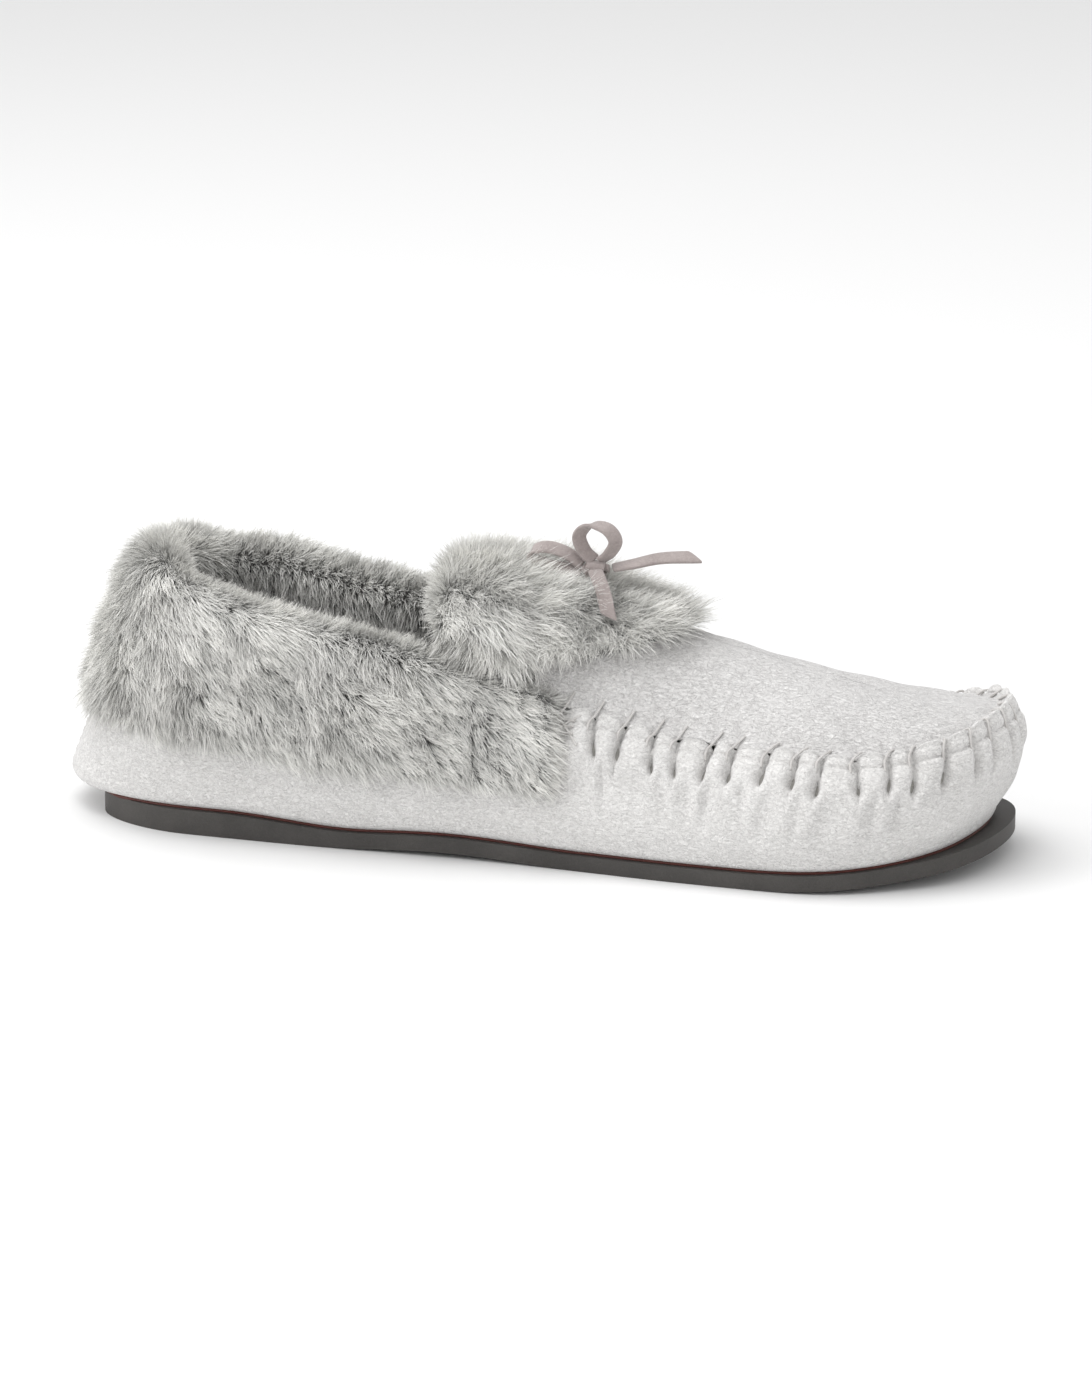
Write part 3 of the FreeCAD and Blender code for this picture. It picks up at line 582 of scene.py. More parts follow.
def wall_lining(name, start, end, top, node, count):
    """A length of lining inside the wall, up to this share of its height."""
    t, q = np.meshgrid(np.linspace(start, end, count), np.linspace(0.06, top, 14))
    depth = lining_depth(t)
    lining = closed_sheet(name, layer(t, q, depth), layer(t, q, depth + lining_thickness), lining_cloth)
    stand_in(lining, "slipper", "pile_lining", node)


outer_end = float(station_at(collar_front * feather_length, -1))
inner_end = float(station_at(collar_front * feather_length, 1))
wall_lining("quarter_lining_outer", 0.01, outer_end - 0.02, 0.97, "quarter_lining", 60)
wall_lining("quarter_lining_inner", inner_end + 0.02, stations - 0.01, 0.97, "quarter_lining", 60)
wall_lining("toe_lining_cloth", outer_end + 0.02, inner_end - 0.02, 0.92, "toe_lining", 90)

board_thickness = 1.5
foam_thickness = 4.0
insole_stack = 3 * glue_line + suede_thickness + board_thickness + foam_thickness + glue_line
sock_thickness = 2.5
bed_clear = 3.0
bed_inset = suede_thickness + counter_thickness + lining_thickness + 3 * glue_line + bed_clear
ring_t = np.linspace(0, stations, 721)
ring = feather(ring_t) - outward(ring_t) * bed_inset
halves = ring[ring_t <= toe_station], ring[ring_t >= toe_station][::-1]
bed_x = np.linspace(halves[0][0, 0] + 0.3, halves[0][-1, 0] - 0.3, 70)
low_y, high_y = (np.interp(bed_x, half[:, 0], half[:, 1]) for half in halves)
across = np.linspace(0, 1, 31)[:, None]
bed_y = low_y + (high_y - low_y) * across
bed_x = np.broadcast_to(bed_x, bed_y.shape)
sock_low = with_height(np.stack([bed_x, bed_y], -1), sole_top(bed_x) + insole_stack)
sock = closed_sheet("sock", sock_low + (0, 0, sock_thickness), sock_low, lining_cloth)
stand_in(sock, "slipper", "pile_lining", "sock_lining")

# ------------------------------------------------------------
# Vamp plug: the suede top of the forefoot, shaped like a tongue and brushed so that its nap curls.
# Its edge is turned up against the wall's edge, and the two are sewn together.
instep_height = 62.0
toe_height = 40.0
seam_ridge = 1.0
arch_power = 2.2
seam_gap = 0.4
tongue_front = 0.675
fold_drop = 20.0
plug_start = 0.535
spine_end = 0.87
lip_height = 0.9
plug_columns = 10
pinch_fall = 0.7
rumple_depth = 0.35
crown_line = profile((0.41, instep_height + 6), (0.49, instep_height + 5), (0.593, instep_height),
                     (0.711, instep_height - 8), (0.83, instep_height - 15), (0.93, toe_height + 2.5),
                     (1.0, toe_height + 0.5))
toe_end_x = float(top_edge(toe_station)[0])
edge_t = np.linspace(0, toe_station, 2001)
outer_edge, inner_edge = top_edge(edge_t), top_edge(stations - edge_t)


def mend(piece, closer_than=None, closed=False):
    """Joins points that lie closer than this, and turns the faces of a closed piece outward."""
    mended = bmesh.new()
    mended.from_mesh(piece.data)
    if closer_than:
        bmesh.ops.remove_doubles(mended, verts=mended.verts, dist=closer_than)
    if closed:
        bmesh.ops.recalc_face_normals(mended, faces=mended.faces)
        if mended.calc_volume(signed=True) < 0:
            bmesh.ops.reverse_faces(mended, faces=mended.faces)
    mended.to_mesh(piece.data)
    mended.free()


def seam_edges(x):
    """The top edge's points on the outer and the inner side of the foot at x: their y and z."""
    return [np.interp(x, edge[:, 0], edge[:, k]) for edge in (outer_edge, inner_edge) for k in (1, 2)]


def vamp_height(x, y):
    """Height of the vamp's outer face: an arch between the two seam edges."""
    ay, az, by, bz = seam_edges(np.minimum(x, toe_end_x - 3.0))
    edge = (az + bz) / 2 - seam_ridge
    crown = np.maximum(crown_line(x / feather_length), edge + 0.5)
    side = np.minimum(np.abs((y - (ay + by) / 2) / ((by - ay) / 2)), 1.3)
    return edge + (crown - edge) * (1 - side ** arch_power)


plug_back = plug_start * feather_length
plug_runs = edge_run(station_at(plug_back, -1)), edge_run(station_at(plug_back, 1))
plug_t = np.interp(np.linspace(*plug_runs, gathers * plug_columns + 1), run, run_at)
plug_in = unit(np.cross((0, 0, 1.0), top_edge(plug_t + 1e-3) - top_edge(plug_t - 1e-3)))
plug_rim = top_edge(plug_t) + plug_in * seam_gap
spine_x = np.minimum(plug_rim[:, 0], spine_end * feather_length)
outer_y, inner_y = seam_edges(spine_x)[::2]
spine = np.stack([spine_x, (outer_y + inner_y) / 2], -1)
outward_share = 1 - (1 - np.linspace(0, 1, 46)[:, None]) ** 1.5
plan = spine + (plug_rim[:, :2] - spine) * outward_share[..., None]
from_rim = np.linalg.norm(plan - plug_rim[:, :2], axis=-1)
plug_crown = gather_relief(plug_t, np.zeros(len(plug_t)))[1]
lip = (np.exp(-(from_rim / 1.6) ** 2) * (lip_height + 0.7 * plug_crown)
       - 0.5 * np.exp(-((from_rim - 3.0) / 1.8) ** 2))
pinched = (-pinch_fall * (1 - plug_crown) * np.exp(-((from_rim - 3.2) / 2.4) ** 2)
           * (plug_t > seam_start + 0.1))
height = vamp_height(plan[..., 0], plan[..., 1])
rumple = (rumple_depth * np.sin(plan[..., 0] * 0.23 + 1.0)
          * np.sin(plan[..., 1] * 0.31 + plan[..., 0] * 0.11))
plug_face = with_height(plan, height + lip + pinched + rumple)
plug_suede = finish("plug_suede", (0.50, 0.486, 0.480), (0.94, 0.928, 0.917), 0.75, 0.35, Grain=2000.0,
                    Patch=60.0, Patchiness=0.15, Softness=0.2, Roughness=0.85, Roughness_change=0.1,
                    Stretch=(0.42, 0.75, 0.6))
plug = solid("suede_plug", plug_face, grid_faces(*plug_face.shape[:2])[:, ::-1], plug_suede)
mend(plug, closer_than=2e-5)
thicken(plug, suede_thickness)
stand_in(plug, "slipper", "suede", "vamp_plug")

# The vamp's lining lies under the plug and stops short of the seam.
rows_short = 9
under = with_height(plan, height - suede_thickness - 4 * glue_line)[:-rows_short][::-1]
vamp_cloth = closed_sheet("vamp_lining_cloth", under, under - (0, 0, lining_thickness), lining_cloth)
stand_in(vamp_cloth, "slipper", "pile_lining", "vamp_lining")

# ------------------------------------------------------------
# Pile collar: long-haired pile cloth folded over the topline, in two halves that meet at the heel
# and are sewn to the wall. The cloth and its padding are one closed core, and hairs stand on it in
# tufts: combed down and forward outside, upright on the crest and down into the shoe inside.
collar_low = 0.36
collar_inner_low = 0.74
core_share = 0.42
pile_outside = 6.0
pile_crest = 7.0
pile_inside = 5.0
pile_edge = 2.0
crest_clear = 1.2
side_hair = 6.2
crest_hair = 4.8
inside_hair = 4.8
front_hair = 8.5
crest_density = 1.9
inside_density = 0.75
front_density = 3.0
hairs_each = 31000


def math_of(operation, *values):
    """A sum on numbers in the pile's tree; the three below work on vectors and on stored values."""
    return place(pile, "ShaderNodeMath", dict(enumerate(values)), operation=operation).outputs[0]


def vector_of(operation, *values, scale=None):
    settings = dict(enumerate(values))
    if scale is not None:
        settings["Scale"] = scale
    return place(pile, "ShaderNodeVectorMath", settings, operation=operation).outputs[0]


def read(name, kind="FLOAT"):
    return place(pile, "GeometryNodeInputNamedAttribute", {"Name": name}, data_type=kind).outputs[0]


def store(geometry, name, value, kind="FLOAT", domain="POINT"):
    values = {"Geometry": geometry, "Name": name, "Value": value}
    return place(pile, "GeometryNodeStoreNamedAttribute", values, data_type=kind, domain=domain).outputs[0]


# Each hair is a narrow ribbon of three lengths. It leaves the cloth along its normal, lies over
# toward the comb direction, and leans to the middle of its tuft. Along a hair, s runs from 0 at its
# root to 1 at its tip.
pile, given, result = node_group(
    "loose_pile", "GeometryNodeTree",
    [("Geometry", "Geometry", None), ("Density", "Float", 1e6), ("Seed", "Int", 1), ("Width", "Float", 2e-4),
     ("Tuft size", "Float", 0.006), ("Tuft pull", "Float", 0.4), ("Wildness", "Float", 0.3),
     ("Patch", "Float", 80.0), ("Material", "Material", None)],
    [("Geometry", "Geometry")])
density = math_of("MULTIPLY", given["Density"], read("thick"))
spread_out = place(pile, "GeometryNodeDistributePointsOnFaces",
                   {0: given["Geometry"], "Density": density, "Seed": given["Seed"]},
                   distribute_method="RANDOM")
roots = store(spread_out.outputs[0], "grow", spread_out.outputs[1], "FLOAT_VECTOR")
position = place(pile, "GeometryNodeInputPosition").outputs[0]
roots = store(roots, "root", position, "FLOAT_VECTOR")
wild = place(pile, "FunctionNodeRandomValue", {0: (-1, -1, -1), 1: (1, 1, 1), "Seed": 3},
             data_type="FLOAT_VECTOR")
roots = store(roots, "wild", wild.outputs[0], "FLOAT_VECTOR")
luck = place(pile, "FunctionNodeRandomValue", {"Seed": 11}, data_type="FLOAT").outputs[1]
roots = store(roots, "luck", luck)
hair = place(pile, "GeometryNodeMeshGrid", {"Size X": 2.0, "Size Y": 1.0, "Vertices X": 2, "Vertices Y": 4})
split = place(pile, "ShaderNodeSeparateXYZ", {0: position})
blade = store(hair.outputs[0], "side", split.outputs[0])
blade = store(blade, "along", math_of("ADD", split.outputs[1], 0.5))
blades = place(pile, "GeometryNodeInstanceOnPoints", {"Points": roots, "Instance": blade}).outputs[0]
blades = place(pile, "GeometryNodeRealizeInstances", {0: blades}).outputs[0]

root, grow, comb = (read(name, "FLOAT_VECTOR") for name in ("root", "grow", "comb"))
s, luck_of = read("along"), read("luck")
s2 = math_of("MULTIPLY", s, s)
stir = place(pile, "ShaderNodeTexNoise", {"Vector": root, "Scale": given["Patch"], "Detail": 2.0})
stir = vector_of("MULTIPLY_ADD", stir.outputs[1], (2.4, 2.4, 1.6), (-1.2, -1.2, -0.8))
comb_size = place(pile, "ShaderNodeVectorMath", {0: comb}, operation="LENGTH").outputs[1]
comb = vector_of("ADD", comb, vector_of("SCALE", stir, scale=comb_size))
lie = math_of("MINIMUM", comb_size, 1.0)
rise = math_of("SUBTRACT", s, math_of("MULTIPLY", s2, math_of("MULTIPLY", lie, 0.5)))
sweep = math_of("MULTIPLY_ADD", s, 0.3, math_of("MULTIPLY", s2, 0.6))
path = vector_of("ADD", vector_of("SCALE", grow, scale=rise), vector_of("SCALE", comb, scale=sweep))
wild_size = math_of("MULTIPLY", given["Wildness"], s2)
path = vector_of("ADD", path, vector_of("SCALE", read("wild", "FLOAT_VECTOR"), scale=wild_size))
reach = math_of("MULTIPLY", read("reach"), math_of("MULTIPLY_ADD", luck_of, 0.5, 0.65))
path = vector_of("SCALE", path, scale=reach)
tuft_scale = math_of("DIVIDE", 1.0, given["Tuft size"])
tufts = place(pile, "ShaderNodeTexVoronoi", {"Vector": root, "Scale": tuft_scale})
to_tuft = vector_of("SUBTRACT", tufts.outputs[2], root)
along_grow = place(pile, "ShaderNodeVectorMath", {0: to_tuft, 1: grow}, operation="DOT_PRODUCT").outputs[1]
to_tuft = vector_of("SUBTRACT", to_tuft, vector_of("SCALE", grow, scale=along_grow))
to_tuft = vector_of("SCALE", to_tuft, scale=math_of("MULTIPLY", s2, given["Tuft pull"]))
broad = vector_of("CROSS_PRODUCT", grow, vector_of("ADD", comb, read("wild", "FLOAT_VECTOR")))
broad = vector_of("NORMALIZE", broad)
taper = math_of("MULTIPLY_ADD", s2, -0.4, 0.5)
half = math_of("MULTIPLY", math_of("MULTIPLY", given["Width"], taper), read("side"))
broad = vector_of("SCALE", broad, scale=half)
place_of = vector_of("ADD", vector_of("ADD", root, path), vector_of("ADD", to_tuft, broad))
blades = place(pile, "GeometryNodeSetPosition", {"Geometry": blades, "Position": place_of}).outputs[0]

# The noise patches darken the hair where the pile parts: partly the hair's own uneven tone, partly painted
# shade of the partings. The per-hair and per-tuft changes are the hair's own tone.
shade_noise = place(pile, "ShaderNodeTexNoise", {"Vector": root, "Scale": given["Patch"],
                                                 "Detail": 1.0}).outputs[0]
tuft_tone = place(pile, "ShaderNodeSeparateXYZ", {0: tufts.outputs[1]}).outputs[0]
shade_noise = place(pile, "ShaderNodeMapRange", {"Value": shade_noise, 1: 0.36, 2: 0.62}).outputs[0]
shade = math_of("MULTIPLY_ADD", luck_of, 0.46, math_of("MULTIPLY", shade_noise, 0.24))
shade = math_of("MULTIPLY_ADD", tuft_tone, 0.3, shade)
spot = math_of("MULTIPLY_ADD", shade, 0.94, math_of("MULTIPLY_ADD", read("side"), 0.01, 0.03))
for_map = place(pile, "ShaderNodeCombineXYZ", {0: spot, 1: s}).outputs[0]
for name in ("OFBake", "hair"):
    blades = store(blades, name, for_map, "FLOAT2", "CORNER")
blades = place(pile, "GeometryNodeRealizeInstances", {0: blades}).outputs[0]
blades = place(pile, "GeometryNodeSetMaterial", {0: blades, "Material": given["Material"]}).outputs[0]
pile.links.new(blades, result["Geometry"])


def hair_colour(name, root_colour, middle, tip, sheen):
    """Hair that lightens from its root to its tip, every hair a little different."""
    material = bpy.data.materials.new(name)
    material.use_nodes = True
    tree = material.node_tree
    shader = tree.nodes["Principled BSDF"]
    hair_map = place(tree, "ShaderNodeUVMap", uv_map="hair").outputs[0]
    where = place(tree, "ShaderNodeSeparateXYZ", {0: hair_map})
    # The ramp's dark root end is partly the hair's own darker root, partly painted shade deep in the pile.
    ramp = place(tree, "ShaderNodeValToRGB", {0: where.outputs[1]})
    ramp.color_ramp.elements.new(0.45)
    for element, colour in zip(ramp.color_ramp.elements, (root_colour, middle, tip)):
        element.color = (*colour, 1)
    tone = place(tree, "ShaderNodeMapRange", {"Value": where.outputs[0], 3: 0.52, 4: 1.12}).outputs[0]
    whole = place(tree, "ShaderNodeVectorMath", {0: ramp.outputs[0], "Scale": tone}, operation="SCALE")
    tree.links.new(whole.outputs[0], shader.inputs["Base Color"])
    gloss = place(tree, "ShaderNodeMapRange", {"Value": where.outputs[0], 3: 0.5, 4: 0.75}).outputs[0]
    tree.links.new(gloss, shader.inputs["Roughness"])
    shader.inputs["Specular IOR Level"].default_value = 0.3
    shader.inputs["Sheen Weight"].default_value = sheen
    return material


def grown(piece, tree, **values):
    """Runs a geometry tree on a piece and keeps the plain mesh that it makes."""
    maker = piece.modifiers.new("maker", "NODES")
    maker.node_group = tree
    sockets = {item.name: item.identifier for item in tree.interface.items_tree if item.in_out == "INPUT"}
    for label, value in values.items():
        maker[sockets[label.replace("_", " ")]] = value
    return settle(piece)


def pile_on(name, core, count, seed, material, body, width=0.2, tuft=3.6, pull=0.36, wildness=0.26):
    """Hairs on a core that has comb, reach and thick attributes."""
    mesh = core.data
    weight = np.empty(len(mesh.vertices))
    mesh.attributes["thick"].data.foreach_get("value", weight)
    area = sum(face.area * float(np.mean(weight[list(face.vertices)])) for face in mesh.polygons)
    hairs = show(name, mesh.copy(), material)
    grown(hairs, pile, Density=count / area, Seed=seed, Width=width / 1000, Tuft_size=tuft / 1000,
          Tuft_pull=pull, Wildness=wildness, Material=material)
    for spent in ("grow", "root", "wild", "luck", "side", "along", "comb", "reach", "thick"):
        hairs.data.attributes.remove(hairs.data.attributes[spent])
    hairs.data.shade_smooth()
    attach(hairs, body)


def give_pile(core, comb, reach, thick):
    """Stores the pile's direction, length in millimetres and thickness at each of the core's points."""
    for name, values, kind, field in (("comb", comb, "FLOAT_VECTOR", "vector"),
                                      ("reach", reach / 1000, "FLOAT", "value"),
                                      ("thick", thick, "FLOAT", "value")):
        stored = core.data.attributes.new(name, kind, "POINT").data
        stored.foreach_set(field, np.asarray(values, float).ravel())


def closed_tube(name, rings, material):
    """A closed piece through rings of points, one ring for each step, with both ends capped."""
    steps, around_count = rings.shape[:2]
    points = np.concatenate([rings.reshape(-1, 3), rings[0].mean(0)[None], rings[-1].mean(0)[None]])
    faces = grid_faces(steps, around_count, ring=True).tolist()
    first, last = steps * around_count, steps * around_count + 1
    base = (steps - 1) * around_count
    for a in range(around_count):
        b = (a + 1) % around_count
        faces.append((a, first, b))
        faces.append((base + b, last, base + a))
    piece = solid(name, points, faces, material)
    mend(piece, closed=True)
    return piece


core_cloth = finish("pile_cloth", (0.20, 0.195, 0.185), (0.36, 0.35, 0.335), 0.5, 0.3, Grain=1300.0,
                    Patch=130.0)
collar_hair = hair_colour("pile_hair", (0.26, 0.257, 0.243), (0.84, 0.837, 0.807), (1.0, 0.99, 0.955), 0.4)
# The lining hair's dark colours paint the shade inside the shoe.
lining_hair_in_painted_shade = hair_colour("lining_hair_in_painted_shade", (0.07, 0.069, 0.066), (0.18, 0.178, 0.171), (0.36, 0.356, 0.345),
                          0.2)


def on_ring(values, ends):
    """Values for the points of a closed tube: its face's, none on its back, and its two ends'."""
    face = values.swapaxes(0, 1)
    ringed = np.concatenate([face, np.zeros_like(face)], axis=1)
    return np.concatenate([ringed.reshape(-1, *values.shape[2:]), ends])


def collar_fade(x):
    """Full pile round the opening, pressed down in front where the tongue lies over it."""
    return 1 - 0.65 * ease(x / feather_length, 0.39, 0.46)


def collar_core(name, start, end, node, count=110):
    """The core of one half, with its pile's attributes: up the outside, over the crest, down the inside."""
    t = np.linspace(start, end, count)
    fade = collar_fade(top_edge(t)[:, 0])
    stack = lining_depth(t) + lining_thickness
    rows, back_rows = [], []
    for q in np.linspace(collar_low, 1, 20):
        full = ease(q, collar_low - 0.1, collar_low + 0.25)
        thick = pile_edge + (pile_outside * np.maximum(fade, 0.6) - pile_edge) * full
        rows.append(layer(t, q, -glue_line - core_share * thick))
        back_rows.append(layer(t, q, np.full(count, -glue_line)))
    out = skin_normal(t, 1.0)
    rise = unit(skin(t, 1.0) - skin(t, 1 - 1e-3))
    middle = layer(t, 1.0, stack / 2)
    for turn in np.radians(np.linspace(18, 162, 9)):
        side = pile_outside * np.maximum(fade, 0.6) if turn < np.pi / 2 else pile_inside * fade
        for share, grid in ((core_share, rows), (0.0, back_rows)):
            reach = np.cos(turn) * (stack / 2 + glue_line + share * side)
            height = np.sin(turn) * (crest_clear + share * pile_crest * fade)
            grid.append(middle + out * reach[:, None] + rise * height[:, None])
    for q in np.linspace(1, collar_inner_low, 12):
        thin = 1 - 0.5 * ease(1 - q, 0.1, 1 - collar_inner_low)
        rows.append(layer(t, q, stack + glue_line + core_share * pile_inside * fade * thin))
        back_rows.append(layer(t, q, stack + glue_line))
    face, back = np.array(rows), np.array(back_rows)
    core = closed_tube(name, np.concatenate([face, back[::-1]]).transpose(1, 0, 2), core_cloth)
    stand_in(core, "slipper", "pile", node)
    over = unit(np.gradient(face, axis=0))
    forward = unit(np.gradient(face, axis=1)) * np.sign(np.gradient(top_edge(t)[:, 0]))[:, None]
    row = np.linspace(0, 1, len(rows))[:, None]
    on_side = 1 - ease(row, 0.50, 0.62)
    inside = ease(row, 0.62, 0.80)
    crest = 1 - on_side - inside
    by_heel = 1 - ease(np.minimum(t, stations - t), 0.2, 1.8)
    comb = (forward * ((0.62 - 0.45 * by_heel) * on_side + 0.30 * crest + 0.30 * inside)[..., None]
            + over * (0.55 * inside - 0.10 * crest - (0.42 + 0.25 * by_heel) * on_side)[..., None])
    reach = side_hair * on_side + crest_hair * crest + inside_hair * inside
    reach = reach * (0.6 + 0.4 * fade) * np.ones((len(rows), count))
    thick = (on_side + crest_density * crest + inside_density * inside) * np.ones(count)
    front_cap = np.array([start == inner_end, end == outer_end], float)
    cap_comb = front_cap[:, None] * (0.75, 0, -0.25)
    give_pile(core, on_ring(comb, cap_comb), on_ring(reach, front_cap * front_hair),
              on_ring(thick, front_cap * front_density))
    return core


for side, start, end, batches in (("outer", 0.01, outer_end, 3), ("inner", inner_end, stations - 0.01, 2)):
    core = collar_core(f"collar_core_{side}", start, end, f"collar_{side}_side")
    for batch in range(batches):
        pile_on(f"collar_pile_{side}_{batch + 1}", core, hairs_each, 20 + batch, collar_hair,
                "slipper", width=0.22 if side == "outer" else 0.26)

# ------------------------------------------------------------
# Tongue: the flap over the instep, of suede with a cloth lining. A cuff of long messy pile is folded
# round its free edge and covers its top. It lifts on the fold where it is sewn to the vamp.
tongue_back = 0.435
tongue_half_width = 26.0
tongue_front_half = 18.0
tongue_lining_thickness = 1.5
tongue_clear = 2.0
tongue_pile = 6.5
tongue_under_pile = 3.0
tongue_hem = 0.28
nose_clear = 1.5
top_hair = 9.6
nose_hair = 6.0
under_hair = 5.0
end_hair = 9.5
end_density = 2.6
tongue_stack = suede_thickness + glue_line + tongue_lining_thickness + glue_line


def tongue_point(u, v, depth=0.0):
    """u runs from the free edge, 0, to the hinge line, 1, and v across from -1 to 1; depth is inward."""
    u, v = np.broadcast_arrays(np.asarray(u, float), np.asarray(v, float))
    back = tongue_back * feather_length + 4.0 * v * v
    x = back + (tongue_front * feather_length - fold_drop * v * v - seam_gap - back) * u
    narrow = ease(x / feather_length, 0.48, 0.58)
    y = v * (tongue_half_width + (tongue_front_half - tongue_half_width) * narrow)
    az, bz = seam_edges(x)[1], seam_edges(x)[3]
    edge = np.maximum(az, bz) + pile_crest * collar_fade(x) + tongue_stack + tongue_under_pile + tongue_clear
    crown = np.maximum(crown_line(x / feather_length), edge + 1.0)
    over_collar = edge + (crown - edge) * (1 - np.abs(v) ** arch_power)
    z = over_collar + (vamp_height(x, y) - over_collar) * narrow
    return np.stack([x, y, z - depth], -1)


def tongue_layer(name, near, thick, material, node, slot):
    """A sheet of the tongue, from this depth down."""
    u, v = np.meshgrid(np.linspace(0, 1, 30), np.linspace(-1, 1, 40), indexing="ij")
    upper, lower = tongue_point(u, v, near)[::-1], tongue_point(u, v, near + thick)[::-1]
    stand_in(closed_sheet(name, upper, lower, material), "tongue", slot, node)


tongue_layer("tongue_suede", 0.0, suede_thickness, plug_suede, "tongue_panel", "suede")
tongue_layer("tongue_lining_cloth", suede_thickness + glue_line, tongue_lining_thickness, lining_cloth,
             "tongue_lining", "pile_lining")

tongue_v = np.linspace(-1, 1, 60)


def tongue_pile_at(u, v):
    """Thickness of the cuff's pile, thinner at its side and front edges."""
    side = ease(1 - np.abs(v), 0.0, 0.3)
    return pile_edge + (tongue_pile - pile_edge) * side * ease(1 - u, 0.0, 0.25)


def cuff_rows(share):
    """Rows round the cuff, with its pile at this share of its thickness."""
    under_depth = tongue_stack + share * tongue_under_pile
    rows = [tongue_point(u, tongue_v, under_depth) for u in np.linspace(tongue_hem, 0.0, 8)]
    over = glue_line + share * tongue_pile_at(0.0, tongue_v)
    for a in np.linspace(0.9, 0.1, 7):
        point = tongue_point(0.0, tongue_v, under_depth * a - over * (1 - a))
        nose_reach = (nose_clear + share * tongue_under_pile) * math.sin(math.pi * a)
        rows.append(point - np.array([1.0, 0, 0]) * nose_reach)
    rows += [tongue_point(u, tongue_v, -glue_line - share * tongue_pile_at(u, tongue_v))
             for u in np.linspace(0.0, 1.0, 26)]
    return np.array(rows)


# The pile is pressed flat where the bow lies on it: under its low loop and under its two tails.
knot_low, knot_high = (1000 * np.array(corner) + last_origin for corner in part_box("bow_knot"))
knot_middle = (knot_low + knot_high) / 2
bow_runs = (((-15, 0, 0), (0, 0, 0)), ((0, 0, 0), (7, -14, 0)), ((0, 0, 0), (12, 3, 0)))
cuff_face, cuff_back = cuff_rows(core_share), cuff_rows(0.0)
cuff_rings = np.concatenate([cuff_face, cuff_back[::-1]]).transpose(1, 0, 2)
cuff = closed_tube("tongue_cuff_core", cuff_rings, core_cloth)
stand_in(cuff, "tongue", "pile", "tongue_cuff")
row = np.linspace(0, 1, len(cuff_face))[:, None]
over = unit(np.gradient(cuff_face, axis=0))
aside = unit(np.gradient(cuff_face, axis=1)) * np.sign(tongue_v)[:, None]
nose = ease(row, 0.10, 0.22) * (1 - ease(row, 0.40, 0.55))
top = ease(row, 0.40, 0.55)
edge_side = ease(np.abs(tongue_v), 0.45, 0.95)
cuff_comb = (over * (0.30 * nose + 0.62 * top)[..., None]
             + aside * ((0.15 + 0.6 * edge_side) * (nose + top))[..., None])
by_bow = np.full(cuff_face.shape[:2], 1e3)
for from_knot, to_tip in bow_runs:
    base = np.array(from_knot) + knot_middle
    lace = np.array(to_tip) + knot_middle - base
    along_lace = np.clip(((cuff_face - base) @ lace) / (lace @ lace), 0, 1)
    off_lace = (cuff_face - base - along_lace[..., None] * lace)[..., :2]
    by_bow = np.minimum(by_bow, np.linalg.norm(off_lace, axis=-1))
under_bow = 1 - ease(by_bow, 1.5, 5.5)
cuff_reach = under_hair * (1 - nose - top) + nose_hair * nose + top_hair * top
cuff_reach = cuff_reach * (1 - 0.15 * edge_side) * (1 - 0.4 * under_bow)
cuff_thick = (0.35 * (1 - nose - top) + 1.1 * nose + 1.0 * top) * np.ones(len(tongue_v))
side_cap = np.array([[0.25, -0.35, -0.5], [0.25, 0.35, -0.5]])
give_pile(cuff, on_ring(cuff_comb, side_cap), on_ring(cuff_reach, np.array([end_hair, end_hair])),
          on_ring(cuff_thick, np.array([end_density, end_density])))
for batch in range(2):
    pile_on(f"tongue_pile_{batch + 1}", cuff, hairs_each, 40 + batch, collar_hair, "tongue",
            width=0.22, tuft=4.6, pull=0.42, wildness=0.38)

# The quarters' lining and the sock have a shorter pile of their own, combed to the toe; its hair is coloured
# dark to paint the shade inside the shoe.
for name, foot_face, hairs, comb, reach in (("quarter_lining_outer", 1, 13000, (0.45, 0, -0.4), 6.0),
                                            ("quarter_lining_inner", 1, 19000, (0.45, 0, -0.4), 6.0),
                                            ("sock", 0, 15000, (0.5, 0.1, 0), 4.5)):
    cloth = bpy.data.objects[name]
    face_points = len(cloth.data.vertices) // 2
    shown = np.repeat([1.0 - foot_face, float(foot_face)], face_points)
    give_pile(cloth, shown[:, None] * comb, shown * reach, shown)
    pile_on(name + "_pile", cloth, hairs, 60, lining_hair_in_painted_shade, "slipper", width=0.28, tuft=4.5)

# ------------------------------------------------------------
# Bow: a flat taupe suede lace, 4 mm wide, tied in a small bow that sits in the pile. A stitch through
# the tongue holds its knot, and its two loops and two slant-cut tails are free.
lace_width = 4.0
lace_suede = finish("lace_suede", (0.29, 0.245, 0.235), (0.47, 0.41, 0.395), 0.25, 0.4, Grain=1500.0,
                    Patch=160.0, Roughness=0.8, Roughness_change=0.15)


def smooth_line(points, count):
    """A smooth open line through a few points, evenly divided."""
    points = np.array(points, float)
    padded = np.concatenate([2 * points[:1] - points[1:2], points, 2 * points[-1:] - points[-2:-1]])
    u = np.linspace(0, len(points) - 1, count)
    i = np.minimum(np.floor(u).astype(int), len(points) - 2)
    f = (u - i)[:, None]
    a, b, c, d = (padded[i + k] for k in range(4))
    return 0.5 * (2 * b + (c - a) * f + (2 * a - 5 * b + 4 * c - d) * f ** 2
                  + (3 * b - 3 * c + d - a) * f ** 3)


